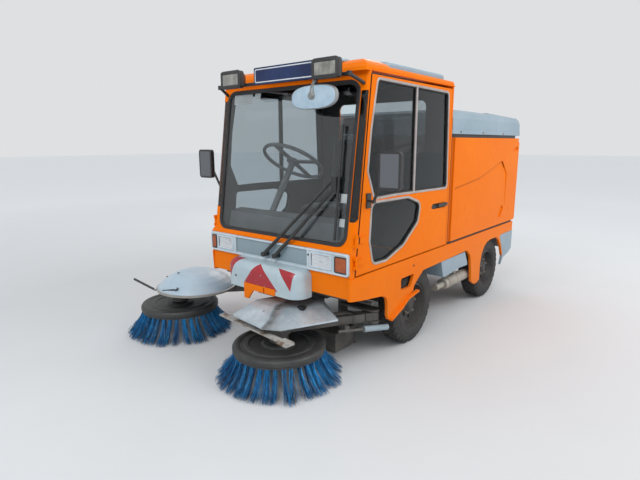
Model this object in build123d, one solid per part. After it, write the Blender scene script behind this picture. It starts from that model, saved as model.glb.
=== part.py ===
from build123d import *
import math
import os

# Compact road sweeper with two front brooms, a glazed cab and a tipping hopper. Millimetres.
# X runs to the vehicle's left, Y to the rear, Z up. The origin is on the ground under the middle of
# the suction mouth. Stations are distances behind the lamp panel, which stands PANEL_Y from the origin.
PANEL_Y = -450.0
CLEAR = 5.0
SOFT_CLEAR = 0.3
SHUT_GAP = 8.0

# Body widths: the cab stands slightly inside the skirts and the hopper
BODY_HALF_WIDTH = 661.0
CAB_HALF_WIDTH = BODY_HALF_WIDTH - 7.0
SKIRT_THICK = 22.0
TYRE_WIDTH = 165.0
TYRE_OUTER_X = BODY_HALF_WIDTH - SKIRT_THICK - 11.0
TYRE_INNER_X = TYRE_OUTER_X - TYRE_WIDTH

# Heights
SKIRT_LOW_Z = 566.0
SKIRT_BAND = 128.0
SKIRT_TOP_Z = SKIRT_LOW_Z + SKIRT_BAND
DOOR_LOW_Z = SKIRT_TOP_Z + SHUT_GAP
DRIP_Z = 1925.0
DOOR_TOP_Z = DRIP_Z - 17.0
ROOF_SIDE_RISE = 42.0
ROOF_CROWN_RISE = 85.0
HOPPER_TOP_Z = 1548.0

# Stations along the vehicle
SEAM_LOW = 68.0
SEAM_TOP = 216.0
CAB_REAR = 1341.0
WALL_REAR_THICK = 20.0
DOOR_REAR = CAB_REAR - WALL_REAR_THICK - CLEAR
HOPPER_FRONT = CAB_REAR + 6.0
HOPPER_LENGTH = 1578.0
HOPPER_REAR = HOPPER_FRONT + HOPPER_LENGTH
TAILGATE_THICK = 36.0

# Chassis
RAIL_X = 265.0
RAIL_WIDTH = 70.0
RAIL_LOW_Z = 446.0
RAIL_TOP_Z = SKIRT_LOW_Z
RAIL_FRONT = 230.0
RAIL_REAR = HOPPER_REAR - 6.0
FLOOR_THICK = 24.0

# Wheels and axles
FRONT_AXLE = 888.0
WHEELBASE = 1465.0
REAR_AXLE = FRONT_AXLE + WHEELBASE
TYRE_RADIUS = 296.0
RIM_RADIUS = 170.0
HUB_BORE = 34.0
SPINDLE_CLEAR = 0.05
AXLE_TUBE_RADIUS = 42.0
KINGPIN_X = TYRE_INNER_X - 48.0
KINGPIN_RADIUS = 16.0

# Brooms: arms swing about upright pins at the chassis and carry a hub at their front end
ARM_PIVOT_X = BODY_HALF_WIDTH - 109.0
ARM_PIVOT = 430.0
ARM_LENGTH = 680.0
ARM_REST_LEFT = -30.0
ARM_REST_RIGHT = -42.0
ARM_Z = 330.0
ARM_HEIGHT = 56.0
ARM_WIDTH = 70.0
LIFT_OFFSET = 105.0
PIN_RADIUS = 14.0
PIN_CLEAR = 0.06
DISC_RADIUS = 305.0
DISC_LOW_Z = 190.0
DISC_THICK = 48.0
BRISTLE_TIP_RADIUS = 440.0
BRISTLE_ROOT_RADIUS = 266.0
BRISTLE_TIP_Z = 4.0
TUFTS = 36
TUFT_ROOT = 34.0
TUFT_TIP = 46.0

os.makedirs("parts", exist_ok=True)


def at(station):
    """Y of a station behind the lamp panel."""
    return PANEL_Y + station


def block(x0, x1, y0, y1, z0, z1):
    """Box between two corners."""
    return Pos((x0 + x1) / 2, (y0 + y1) / 2, (z0 + z1) / 2) * Box(x1 - x0, y1 - y0, z1 - z0)


def side_prism(outline, x0, x1, radius=0.0):
    """Prism across x0 to x1 of an outline of (station, z) corners, each rounded by radius."""
    points = [(at(s), z) for s, z in outline]
    sketch = Plane.YZ * Polygon(*points, align=None)
    if radius:
        sketch = fillet(sketch.vertices(), radius)
    return Pos(x0, 0, 0) * extrude(sketch, amount=x1 - x0, dir=(1, 0, 0))


def front_prism(outline, y0, y1, radius=0.0):
    """Prism from y0 to y1 of an outline of (x, z) corners, each rounded by radius."""
    plane = Plane(origin=(0, 0, 0), x_dir=(1, 0, 0), z_dir=(0, -1, 0))
    sketch = plane * Polygon(*outline, align=None)
    if radius:
        sketch = fillet(sketch.vertices(), radius)
    return Pos(0, y0, 0) * extrude(sketch, amount=y1 - y0, dir=(0, 1, 0))


def rod(start, end, radius, end_radius=None):
    """Round bar between two points, tapered where an end radius is given."""
    a, b = Vector(*start), Vector(*end)
    plane = Plane(origin=a, z_dir=b - a)
    foot = (Align.CENTER, Align.CENTER, Align.MIN)
    if end_radius:
        return plane * Cone(radius, end_radius, (b - a).length, align=foot)
    return plane * Cylinder(radius, (b - a).length, align=foot)


def disc_x(x0, x1, station, z, radius):
    """Round disc with its axis across the vehicle."""
    return rod((x0, at(station), z), (x1, at(station), z), radius)


def mirrored(shape):
    """The same shape on the other side of the centre plane."""
    return mirror(shape, Plane.YZ)


def both_sides(shape):
    """A left piece together with its mirror image on the right."""
    return Compound(shape.solids() + mirrored(shape).solids())


def save(shape, node):
    export_step(shape, f"parts/{node}.step")


def seam_station(z):
    """Station of the raked seam in front of the door at height z."""
    share = (z - DOOR_LOW_Z) / (DRIP_Z - DOOR_LOW_Z)
    return SEAM_LOW + share * (SEAM_TOP - SEAM_LOW)


# Chassis: two box rails with shallow horns at the front, cross members and the front beam. The rear lugs
# carry the hopper's hinge pin. The outriggers for the arms hang under the rails as a piece of their own.
CROSS_HALF = RAIL_X - RAIL_WIDTH / 2
RAIL_OUTER_X = RAIL_X + RAIL_WIDTH / 2
HORN_FRONT = SEAM_LOW + 2.0
HORN_LOW_Z = RAIL_TOP_Z - 46.0
CROSS_HALF_DEPTH = 30.0
# Cross members: station, depth below the rail's top. The shallow one leaves room for the suction duct.
CROSS_MEMBERS = [(1180.0, 34.0), (1660.0, 108.0), (HOPPER_REAR - 635.0, 108.0), (HOPPER_REAR - 75.0, 108.0)]
FRONT_BEAM = 95.0
FRONT_BEAM_DEPTH = 70.0
FRONT_BEAM_HALF = BODY_HALF_WIDTH - 61.0
OUTRIGGER_THICK = 14.0
OUTRIGGER_HALF = 45.0
OUTRIGGER_WEB = 20.0
# Tube stay between rail and skirt in the cut-out ahead of the arm's pivot
STAY_STATION = 300.0
STAY_Z = 462.0
STAY_RADIUS = 13.0
HINGE_STATION = HOPPER_REAR
HINGE_Z = SKIRT_TOP_Z - 10.0
HINGE_PIN_RADIUS = 13.0
LUG_RADIUS = 22.0
LUG_THICK = 22.0
LUG_LENGTH = 75.0
HINGE_LUG_X = 265.0
# Rear tow eye
EYE_STATION = HOPPER_REAR + 35.0
EYE_LOW_Z = RAIL_LOW_Z + 30.0
EYE_THICK = 20.0
EYE_HALF = 38.0
EYE_BORE = 16.0
OUTRIGGER_LOW_Z = ARM_Z - ARM_HEIGHT / 2 - CLEAR - OUTRIGGER_THICK
OUTRIGGER_HIGH_Z = ARM_Z + ARM_HEIGHT / 2 + CLEAR


def outrigger():
    """Left arm's carrier: a web on the rail, two plates and the upright pin between them."""
    y = at(ARM_PIVOT)
    top = OUTRIGGER_HIGH_Z + OUTRIGGER_THICK
    carrier = block(RAIL_OUTER_X - OUTRIGGER_WEB, RAIL_OUTER_X, y - OUTRIGGER_HALF, y + OUTRIGGER_HALF,
                    OUTRIGGER_LOW_Z, RAIL_LOW_Z)
    for z in (OUTRIGGER_LOW_Z, OUTRIGGER_HIGH_Z):
        carrier += block(RAIL_OUTER_X - 1, ARM_PIVOT_X, y - OUTRIGGER_HALF, y + OUTRIGGER_HALF,
                         z, z + OUTRIGGER_THICK)
        carrier += Pos(ARM_PIVOT_X, y, z + OUTRIGGER_THICK / 2) * Cylinder(OUTRIGGER_HALF, OUTRIGGER_THICK)
    carrier += Pos(ARM_PIVOT_X, y, (OUTRIGGER_LOW_Z + top) / 2) * Cylinder(PIN_RADIUS, top - OUTRIGGER_LOW_Z)
    return carrier


def hinge_lug():
    """Left lug of the hopper's hinge on the rail's end."""
    x0, x1 = HINGE_LUG_X - LUG_THICK / 2, HINGE_LUG_X + LUG_THICK / 2
    lug = block(x0, x1, at(HINGE_STATION - LUG_LENGTH), at(RAIL_REAR), RAIL_TOP_Z - 40, HINGE_Z)
    lug += block(x0, x1, at(HINGE_STATION - LUG_LENGTH), at(HINGE_STATION), HINGE_Z - LUG_RADIUS, HINGE_Z + LUG_RADIUS)
    return lug + disc_x(x0, x1, HINGE_STATION, HINGE_Z, LUG_RADIUS)


def chassis():
    side = block(RAIL_X - RAIL_WIDTH / 2, RAIL_OUTER_X, at(RAIL_FRONT), at(RAIL_REAR), RAIL_LOW_Z, RAIL_TOP_Z)
    side += block(RAIL_X - RAIL_WIDTH / 2, RAIL_OUTER_X, at(HORN_FRONT), at(RAIL_FRONT) + 1, HORN_LOW_Z, RAIL_TOP_Z)
    side += rod((RAIL_OUTER_X - 10, at(STAY_STATION), STAY_Z),
                (BODY_HALF_WIDTH - SKIRT_THICK - CLEAR, at(STAY_STATION), STAY_Z), STAY_RADIUS)
    side += hinge_lug()
    frame = side + mirrored(side)
    for station, depth in CROSS_MEMBERS:
        frame += block(-CROSS_HALF - 1, CROSS_HALF + 1, at(station - CROSS_HALF_DEPTH),
                       at(station + CROSS_HALF_DEPTH), RAIL_TOP_Z - depth, RAIL_TOP_Z - 2)
    frame += block(-FRONT_BEAM_HALF, FRONT_BEAM_HALF, at(FRONT_BEAM), at(FRONT_BEAM + FRONT_BEAM_DEPTH),
                   HORN_LOW_Z, RAIL_TOP_Z)
    frame += disc_x(-HINGE_LUG_X, HINGE_LUG_X, HINGE_STATION, HINGE_Z, HINGE_PIN_RADIUS)
    eye = block(-EYE_HALF, EYE_HALF, at(HOPPER_REAR - 60), at(EYE_STATION), EYE_LOW_Z, EYE_LOW_Z + EYE_THICK)
    eye += Pos(0, at(EYE_STATION), EYE_LOW_Z + EYE_THICK / 2) * Cylinder(EYE_HALF, EYE_THICK)
    eye -= Pos(0, at(EYE_STATION), EYE_LOW_Z + EYE_THICK / 2) * Cylinder(EYE_BORE, EYE_THICK + 4)
    return frame + eye


# Axles: the front one is fixed, the rear one carries steered knuckles on upright kingpins.
SPINDLE_RADIUS = HUB_BORE - SPINDLE_CLEAR
WHEEL_MID_X = TYRE_OUTER_X - TYRE_WIDTH / 2
HUB_FACE_X = WHEEL_MID_X - 30.0
SPINDLE_END_X = WHEEL_MID_X + 34.0
DRUM_RADIUS = 90.0
DRUM_WIDTH = 40.0
SPRING_HALF_LENGTH = 300.0
SPRING_HALF_WIDTH = 28.0
SPRING_CLAMP_HALF = 60.0
SPRING_PACK = 44.0
FORK_GAP = 92.0
FORK_THICK = 22.0
FORK_HALF = 30.0
FORK_REACH = 70.0
BOSS_RADIUS = 29.0
STEER_LEVER = 150.0


def leaf_spring(axle_station):
    """Arched pack of leaves under a rail, seated on the axle tube, with its eyes at the rail."""
    seat_z = TYRE_RADIUS + AXLE_TUBE_RADIUS - 4
    front, rear = axle_station - SPRING_HALF_LENGTH, axle_station + SPRING_HALF_LENGTH
    outline = [(front, RAIL_LOW_Z), (front, RAIL_LOW_Z - 22), (axle_station - SPRING_CLAMP_HALF, seat_z),
               (axle_station + SPRING_CLAMP_HALF, seat_z), (rear, RAIL_LOW_Z - 22), (rear, RAIL_LOW_Z),
               (rear - 40, RAIL_LOW_Z), (axle_station + SPRING_CLAMP_HALF, seat_z + SPRING_PACK),
               (axle_station - SPRING_CLAMP_HALF, seat_z + SPRING_PACK), (front + 40, RAIL_LOW_Z)]
    return side_prism(outline, RAIL_X - SPRING_HALF_WIDTH, RAIL_X + SPRING_HALF_WIDTH)


def front_axle():
    tube_end = HUB_FACE_X - 12.0
    axle = disc_x(-tube_end, tube_end, FRONT_AXLE, TYRE_RADIUS, AXLE_TUBE_RADIUS)
    axle += disc_x(-SPINDLE_END_X, SPINDLE_END_X, FRONT_AXLE, TYRE_RADIUS, SPINDLE_RADIUS)
    side = disc_x(HUB_FACE_X - DRUM_WIDTH, HUB_FACE_X - SOFT_CLEAR, FRONT_AXLE, TYRE_RADIUS, DRUM_RADIUS)
    side += leaf_spring(FRONT_AXLE)
    return axle + side + mirrored(side)


def fork():
    """Left end of the rear axle: two plates joined by a web, with the kingpin between them."""
    y = at(REAR_AXLE)
    half = FORK_GAP / 2 + FORK_THICK
    piece = block(KINGPIN_X - FORK_REACH, KINGPIN_X - FORK_REACH + 24, y - FORK_HALF, y + FORK_HALF,
                  TYRE_RADIUS - half, TYRE_RADIUS + half)
    for z in (TYRE_RADIUS - half, TYRE_RADIUS + FORK_GAP / 2):
        piece += block(KINGPIN_X - FORK_REACH, KINGPIN_X, y - FORK_HALF, y + FORK_HALF, z, z + FORK_THICK)
        piece += Pos(KINGPIN_X, y, z + FORK_THICK / 2) * Cylinder(FORK_HALF, FORK_THICK)
    return piece + Pos(KINGPIN_X, y, TYRE_RADIUS) * Cylinder(KINGPIN_RADIUS, 2 * half)


def rear_axle():
    tube_end = KINGPIN_X - FORK_REACH
    axle = disc_x(-tube_end, tube_end, REAR_AXLE, TYRE_RADIUS, AXLE_TUBE_RADIUS)
    side = fork() + leaf_spring(REAR_AXLE)
    return axle + side + mirrored(side)


def knuckle():
    """Left rear knuckle: boss on the kingpin, spindle and steering lever."""
    y = at(REAR_AXLE)
    body = Pos(KINGPIN_X, y, TYRE_RADIUS) * Cylinder(BOSS_RADIUS, FORK_GAP - 2 * SOFT_CLEAR)
    body += disc_x(KINGPIN_X + 10, HUB_FACE_X - SOFT_CLEAR, REAR_AXLE, TYRE_RADIUS, AXLE_TUBE_RADIUS - 2)
    body += disc_x(KINGPIN_X, SPINDLE_END_X, REAR_AXLE, TYRE_RADIUS, SPINDLE_RADIUS)
    body += block(KINGPIN_X - 20, KINGPIN_X + 20, y - STEER_LEVER, y, TYRE_RADIUS - 14, TYRE_RADIUS + 10)
    return body - Pos(KINGPIN_X, y, TYRE_RADIUS) * Cylinder(KINGPIN_RADIUS + PIN_CLEAR, FORK_GAP + 4)


TREAD_HALF = 56.0
SIDEWALL_BULGE_Z = 44.0


def tyre(station):
    """Tyre with a bulged sidewall, rounded shoulders and a flat tread, about the left wheel's axis."""
    half = TYRE_WIDTH / 2
    bead = (half - 18, RIM_RADIUS)
    right = [bead, (half - 4, RIM_RADIUS + 18), (half, RIM_RADIUS + SIDEWALL_BULGE_Z),
             (half - 4, TYRE_RADIUS - 42), (half - 12, TYRE_RADIUS - 16), (TREAD_HALF, TYRE_RADIUS - 4),
             (TREAD_HALF - 16, TYRE_RADIUS)]
    profile = right + [(-x, r) for x, r in reversed(right)]
    body = revolve(Polygon(*profile, align=None), axis=Axis.X, revolution_arc=360)
    return Pos(WHEEL_MID_X, at(station), TYRE_RADIUS) * body


RIM_HOLES = 5
RIM_HOLE_PITCH = 122.0
RIM_HOLE_RADIUS = 15.0


def rim(station):
    """Pressed steel wheel: stepped well, outward disc with round holes, and hub with its bore."""
    half = TYRE_WIDTH / 2 - 18
    profile = [(-half, RIM_RADIUS), (half, RIM_RADIUS), (half + 4, RIM_RADIUS - 12), (half - 8, RIM_RADIUS - 16),
               (14, RIM_RADIUS - 32), (8, 98), (30, 84), (34, 62), (44, 52), (44, HUB_BORE), (-30, HUB_BORE),
               (-30, 82), (-6, 96), (-2, RIM_RADIUS - 32), (-half, RIM_RADIUS - 14)]
    body = revolve(Polygon(*profile, align=None), axis=Axis.X, revolution_arc=360)
    for k in range(RIM_HOLES):
        angle = math.radians(360 / RIM_HOLES * k)
        y, z = RIM_HOLE_PITCH * math.cos(angle), RIM_HOLE_PITCH * math.sin(angle)
        body -= rod((-20, y, z), (40, y, z), RIM_HOLE_RADIUS)
    return Pos(WHEEL_MID_X, at(station), TYRE_RADIUS) * body


save(chassis(), "chassis_frame")
save(both_sides(outrigger()), "arm_mounts")
save(front_axle(), "front_axle")
save(rear_axle(), "rear_axle")
save(knuckle(), "knuckle_left")
save(mirrored(knuckle()), "knuckle_right")
for end, station in (("front", FRONT_AXLE), ("rear", REAR_AXLE)):
    save(tyre(station), f"tyre_{end}_left")
    save(mirrored(tyre(station)), f"tyre_{end}_right")
    save(rim(station), f"rim_{end}_left")
    save(mirrored(rim(station)), f"rim_{end}_right")


# Engine block under the hopper.
ENGINE_HALF_WIDTH = 190.0
ENGINE_FRONT = 1690.0
ENGINE_LENGTH = 570.0
ENGINE_LOW_Z = 400.0
ENGINE_TOP_Z = SKIRT_TOP_Z - 4.0

save(block(-ENGINE_HALF_WIDTH, ENGINE_HALF_WIDTH, at(ENGINE_FRONT), at(ENGINE_FRONT + ENGINE_LENGTH),
           ENGINE_LOW_Z, ENGINE_TOP_Z), "engine_block")


# Side tanks, pale grey, behind the front wheels, and the silencer beneath the left one.
TANK_FRONT = 1265.0
TANK_REAR = 1731.0
TANK_INNER_X = 400.0
TANK_OUTER_X = BODY_HALF_WIDTH - 8.0
TANK_LOW_Z = SKIRT_LOW_Z - 144.0
SILENCER_X = BODY_HALF_WIDTH - 81.0
SILENCER_Z = 320.0
SILENCER_RADIUS = 48.0
SILENCER_FRONT = 1450.0
SILENCER_REAR = 1910.0
PIPE_RADIUS = 26.0


def side_tank():
    outline = [(TANK_FRONT, SKIRT_LOW_Z), (TANK_FRONT + 45, TANK_LOW_Z + 9), (TANK_FRONT + 65, TANK_LOW_Z),
               (TANK_REAR - 110, TANK_LOW_Z + 21), (TANK_REAR + 62, TANK_LOW_Z + 14),
               (TANK_REAR + 58, TANK_LOW_Z + 42), (TANK_REAR, SKIRT_LOW_Z)]
    return side_prism(outline, TANK_INNER_X, TANK_OUTER_X, radius=6)


def along(station_0, station_1, radius):
    """Round bar along the vehicle on the silencer's axis."""
    return rod((SILENCER_X, at(station_0), SILENCER_Z), (SILENCER_X, at(station_1), SILENCER_Z), radius)


def silencer():
    body = along(SILENCER_FRONT, SILENCER_REAR, SILENCER_RADIUS)
    body += along(SILENCER_FRONT - 130, SILENCER_FRONT, PIPE_RADIUS)
    body += along(SILENCER_REAR, SILENCER_REAR + 60, PIPE_RADIUS)
    for station in (SILENCER_FRONT + 60, TANK_REAR - 60):
        body += along(station, station + 24, SILENCER_RADIUS + 4)
        body += block(SILENCER_X - 8, SILENCER_X + 8, at(station), at(station + 24),
                      SILENCER_Z + SILENCER_RADIUS, TANK_LOW_Z + 30)
    return body


save(both_sides(side_tank()), "side_tanks")
save(silencer() - side_tank(), "silencer")


# Cab floor pan on the rails, with a raised box over each front wheel.
WHEEL_BOX_X = TYRE_INNER_X - 31.0
WHEEL_BOX_HALF = TYRE_RADIUS + 26.0
WHEEL_BOX_SKIN = 12.0
FLOOR_HALF = CAB_HALF_WIDTH - 45.0


def cab_floor():
    floor = block(-FLOOR_HALF, FLOOR_HALF, at(70), at(CAB_REAR - WALL_REAR_THICK), RAIL_TOP_Z,
                  RAIL_TOP_Z + FLOOR_THICK)
    y0, y1 = at(FRONT_AXLE - WHEEL_BOX_HALF), at(FRONT_AXLE + WHEEL_BOX_HALF)
    top = TYRE_RADIUS * 2 + 14
    shell = block(WHEEL_BOX_X, FLOOR_HALF, y0, y1, RAIL_TOP_Z, top + WHEEL_BOX_SKIN)
    hollow = block(WHEEL_BOX_X + WHEEL_BOX_SKIN, FLOOR_HALF + 10, y0 + WHEEL_BOX_SKIN, y1 - WHEEL_BOX_SKIN,
                   RAIL_TOP_Z - 1, top)
    return floor + shell + mirrored(shell) - hollow - mirrored(hollow)


save(cab_floor(), "cab_floor")


# Side skirts: the sill strip along the whole vehicle with the front wheel's guard and its vent, the leg
# ahead of the rear wheel, the open rear arch and the guard's turned-out lip.
SKIRT_INNER_X = BODY_HALF_WIDTH - SKIRT_THICK
SKIRT_REAR = HOPPER_REAR - 10.0
LIP_REACH = 24.0
# Corners ahead of and behind a wheel: distance from its axle, z
GUARD_CORNERS = [(-544, 507), (-494, 495), (-455, 468), (-445, 422), (-443, 342), (-428, 313), (-408, 305),
                 (-276, 355), (-208, 397), (-173, 412), (-88, 440), (-88, 458), (-67, 484), (-9, 525), (59, 565)]
LEG_CORNERS = [(-602, 578), (-528, 522), (-512, 491), (-502, 452), (-484, 374), (-468, 267), (-392, 221),
               (-321, 224), (-276, 240), (-276, 400), (-243, 490), (-191, 548), (-133, 578), (-59, 590)]
ARCH_CORNERS = [(101, 591), (177, 554), (252, 464), (300, 370), (314, 377), (266, 476), (203, 578), (238, 598)]
LIP_CORNERS = [(-416, 302), (-276, 352), (-188, 400), (-36, 424), (-36, 436), (-188, 412), (-276, 366), (-408, 318)]
VENT_CORNERS = [(-274, 554), (-261, 569), (-103, 568), (-88, 561), (-127, 490), (-141, 480), (-256, 483),
                (-270, 491)]


def behind(axle, corners):
    """Corners given from an axle, as stations."""
    return [(axle + d, z) for d, z in corners]


def skirt():
    outline = [(10, SKIRT_LOW_Z - 13), (168, SKIRT_LOW_Z - 38)]
    outline += behind(FRONT_AXLE, GUARD_CORNERS)
    outline += behind(REAR_AXLE, LEG_CORNERS)
    outline += behind(REAR_AXLE, ARCH_CORNERS)
    outline += [(SKIRT_REAR, SKIRT_LOW_Z + 32), (SKIRT_REAR, SKIRT_TOP_Z), (2, SKIRT_TOP_Z)]
    body = side_prism(outline, SKIRT_INNER_X, BODY_HALF_WIDTH)
    body -= side_prism(behind(FRONT_AXLE, VENT_CORNERS), SKIRT_INNER_X - 2, BODY_HALF_WIDTH + 2)
    nose_edge = body.edges().filter_by(lambda e: e.center().X > BODY_HALF_WIDTH - 1).sort_by(Axis.Y)[0]
    body = fillet(nose_edge, SKIRT_THICK * 0.7)
    return body + side_prism(behind(FRONT_AXLE, LIP_CORNERS), BODY_HALF_WIDTH - 6, BODY_HALF_WIDTH + LIP_REACH)


skirt_left = skirt()
skirt_right = mirrored(skirt_left)
save(Compound(skirt_left.solids() + skirt_right.solids()), "side_skirts")


# Rear end below the hopper, pale grey: a corner panel behind each rear arch and the flat rear face with
# a slot for the tow eye. Two rear lamps stand on it.
REAR_FACE_THICK = 16.0
REAR_FACE_LOW_Z = SKIRT_LOW_Z - 166.0
REAR_FACE = RAIL_REAR
CORNER_CORNERS = [(238, 596), (207, 578), (270, 478), (319, 374), (281, 276), (350, 341), (495, 369)]
REAR_LAMP_X = BODY_HALF_WIDTH - 81.0
REAR_LAMP_HALF = 52.0
REAR_LAMP_LOW_Z = 478.0
REAR_LAMP_TOP_Z = 560.0
REAR_LAMP_DEPTH = 16.0


def rear_panel():
    top = SKIRT_LOW_Z + 30
    corner = behind(REAR_AXLE, CORNER_CORNERS) + [(REAR_FACE, REAR_FACE_LOW_Z), (REAR_FACE, top)]
    side = side_prism(corner, SKIRT_INNER_X, BODY_HALF_WIDTH)
    face = block(-BODY_HALF_WIDTH, BODY_HALF_WIDTH, at(REAR_FACE), at(REAR_FACE + REAR_FACE_THICK),
                 REAR_FACE_LOW_Z, top)
    face = fillet(face.edges().filter_by(Axis.Z).group_by(Axis.Y)[-1], 12)
    face -= block(-EYE_HALF - 12, EYE_HALF + 12, at(REAR_FACE) - 1, at(REAR_FACE + REAR_FACE_THICK) + 1,
                  EYE_LOW_Z - 14, EYE_LOW_Z + EYE_THICK + 14)
    return face + side + mirrored(side)


def rear_lamp():
    y = at(REAR_FACE + REAR_FACE_THICK)
    lamp = block(REAR_LAMP_X - REAR_LAMP_HALF, REAR_LAMP_X + REAR_LAMP_HALF, y, y + REAR_LAMP_DEPTH,
                 REAR_LAMP_LOW_Z, REAR_LAMP_TOP_Z)
    return fillet(lamp.edges().filter_by(Axis.Y), 10)


save(rear_panel(), "rear_panel")
save(both_sides(rear_lamp()), "rear_lamps")


# Cab front: lower wall with the lamp panel's seat, raked pillars round the windscreen and corner panes.
LEDGE_Z = 856.0
SCREEN_LOW_Z = 884.0
SCREEN_TOP_Z = DRIP_Z - 58.0
SCREEN_LOW = 40.0
SCREEN_TOP = 190.0
SCREEN_HALF = CAB_HALF_WIDTH - 64.0
SCREEN_THICK = 8.0
SCREEN_CORNER = 70.0
PANEL_THICK = 12.0
FRONT_CORNER = 20.0
# The corner pane's outline: height, and its edge behind the screen's plane or ahead of the door's seam
PANE_LOW_Z = 985.0
PANE_TOP_Z = DRIP_Z - 112.0
PANE_SEAM_GAP = 15.0
PANE_INNER_X = SCREEN_HALF + 18.0


def screen_station(z):
    """Station of the raked screen surface at height z."""
    return SCREEN_LOW + (z - SCREEN_LOW_Z) / (DRIP_Z - SCREEN_LOW_Z) * (SCREEN_TOP - SCREEN_LOW)


def pane_space(outer_x):
    """Space of the left corner pane between the screen and the door's seam, its lower edge slanting."""
    low, top = PANE_LOW_Z, PANE_TOP_Z
    return side_prism([(-20, low), (seam_station(low + 70) - PANE_SEAM_GAP, low + 70),
                       (seam_station(top) - PANE_SEAM_GAP, top), (-20, top)], PANE_INNER_X, outer_x)


def cab_front():
    low = RAIL_TOP_Z - 2
    outline = [(PANEL_THICK, low), (PANEL_THICK, LEDGE_Z), (SCREEN_LOW, SCREEN_LOW_Z), (SCREEN_TOP, DRIP_Z),
               (SEAM_TOP - CLEAR, DRIP_Z), (SEAM_LOW - CLEAR, SKIRT_TOP_Z + 2), (SEAM_LOW - CLEAR, low)]
    body = side_prism(outline, -CAB_HALF_WIDTH, CAB_HALF_WIDTH)
    slope = body.faces().filter_by(lambda f: f.normal_at().Y < -0.9 and f.normal_at().Z > 0.01).sort_by(Axis.Z)[-1]
    body = fillet(slope.edges().filter_by(lambda e: abs(e.center().X) > CAB_HALF_WIDTH - 1), FRONT_CORNER)
    body -= skirt_left
    body -= skirt_right
    body -= front_prism([(-SCREEN_HALF, SCREEN_LOW_Z + 4), (SCREEN_HALF, SCREEN_LOW_Z + 4),
                         (SCREEN_HALF, SCREEN_TOP_Z), (-SCREEN_HALF, SCREEN_TOP_Z)],
                        at(-50), at(400), radius=SCREEN_CORNER)
    opening = pane_space(CAB_HALF_WIDTH + 10)
    return body - opening - mirrored(opening)


def windscreen():
    """Flat glass with rounded corners, in the raked opening."""
    low, high = SCREEN_LOW_Z + 4, SCREEN_TOP_Z
    slab = side_prism([(screen_station(low) + 4, low), (screen_station(high) + 4, high),
                       (screen_station(high) + 4 + SCREEN_THICK, high), (screen_station(low) + 4 + SCREEN_THICK, low)],
                      -SCREEN_HALF, SCREEN_HALF)
    return slab & front_prism([(-SCREEN_HALF, low), (SCREEN_HALF, low), (SCREEN_HALF, high), (-SCREEN_HALF, high)],
                              at(-50), at(400), radius=SCREEN_CORNER)


def corner_pane():
    """Bent pane between the screen and the door, which closes the corner."""
    inset = 3.0
    low, top = PANE_LOW_Z - 50, PANE_TOP_Z + 50
    behind_screen = side_prism([(screen_station(low) + inset, low), (SEAM_TOP, low), (SEAM_TOP, top),
                                (screen_station(top) + inset, top)], SCREEN_HALF, CAB_HALF_WIDTH)
    pane = pane_space(CAB_HALF_WIDTH - inset) & behind_screen
    corner = pane.edges().filter_by(lambda e: e.center().X > CAB_HALF_WIDTH - inset - 1 and e.length > 500)
    return fillet(corner.sort_by(Axis.Y)[0], FRONT_CORNER - inset)


# Lamp panel with its shallow recess, two headlamps and two indicators. Lamps: x0, x1, z0, z1.
PANEL_LOW_Z = 709.0
PANEL_TOP_Z = 851.0
PANEL_HALF = CAB_HALF_WIDTH - 3.0
HEADLAMPS = [(-PANEL_HALF + 78, -PANEL_HALF + 245, 735, 828), (PANEL_HALF - 304, PANEL_HALF - 133, 735, 828)]
INDICATORS = [(-PANEL_HALF + 10, -PANEL_HALF + 63, 727, 827), (PANEL_HALF - 106, PANEL_HALF - 10, 727, 827)]
RECESS = [(-367, 731), (321, 731), (321, 836), (-367, 836)]
RECESS_DEPTH = 6.0


def lamp_panel():
    panel = block(-PANEL_HALF, PANEL_HALF, at(0), at(PANEL_THICK), PANEL_LOW_Z, PANEL_TOP_Z)
    panel = fillet(panel.edges().filter_by(Axis.Y), 14)
    panel -= front_prism(RECESS, at(-5), at(RECESS_DEPTH), radius=8)
    for x0, x1, z0, z1 in HEADLAMPS + INDICATORS:
        panel -= block(x0 - 1, x1 + 1, at(-5), at(PANEL_THICK + 5), z0 - 1, z1 + 1)
    return panel


# Roof outfit: lamp bar with two work lamps, blank sign and front mirror.
BAR_STATION = 70.0
BAR_Z = DRIP_Z - 25.0
BAR_RADIUS = 11.0
BAR_LEFT_X = CAB_HALF_WIDTH - 60.0
BAR_RIGHT_X = -CAB_HALF_WIDTH + 94.0
WORK_LAMP_X = (-344.0, 482.0)
WORK_LAMP_WIDTH = 196.0
WORK_LAMP_HEIGHT = 112.0
WORK_LAMP_Z = DRIP_Z + 5.0
WORK_LAMP_FRONT = -20.0
WORK_LAMP_DEPTH = 78.0
WORK_LENS_INSET = 16.0
SIGN_FRONT = 20.0
SIGN_THICK = 14.0
SIGN_X = (-150.0, 378.0)
SIGN_Z = (1886.0, 1992.0)
MIRROR_X = 352.0
MIRROR_Z = DRIP_Z - 145.0
MIRROR_TILT = 8.0


def work_lamp(x):
    """Square lamp whose housing narrows to the rear, with a shallow seat for its lens."""
    plane = Plane(origin=(x, at(WORK_LAMP_FRONT), WORK_LAMP_Z), x_dir=(1, 0, 0), z_dir=(0, 1, 0))
    wide = RectangleRounded(WORK_LAMP_WIDTH, WORK_LAMP_HEIGHT, 14)
    narrow = RectangleRounded(WORK_LAMP_WIDTH * 0.72, WORK_LAMP_HEIGHT * 0.66, 14)
    lamp = extrude(plane * wide, amount=WORK_LAMP_DEPTH * 0.45)
    lamp += loft([plane.offset(WORK_LAMP_DEPTH * 0.45) * wide, plane.offset(WORK_LAMP_DEPTH) * narrow])
    seat = RectangleRounded(WORK_LAMP_WIDTH - 2 * WORK_LENS_INSET + 2, WORK_LAMP_HEIGHT - 2 * WORK_LENS_INSET + 2, 7)
    return lamp - extrude(plane * seat, amount=10)


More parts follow.
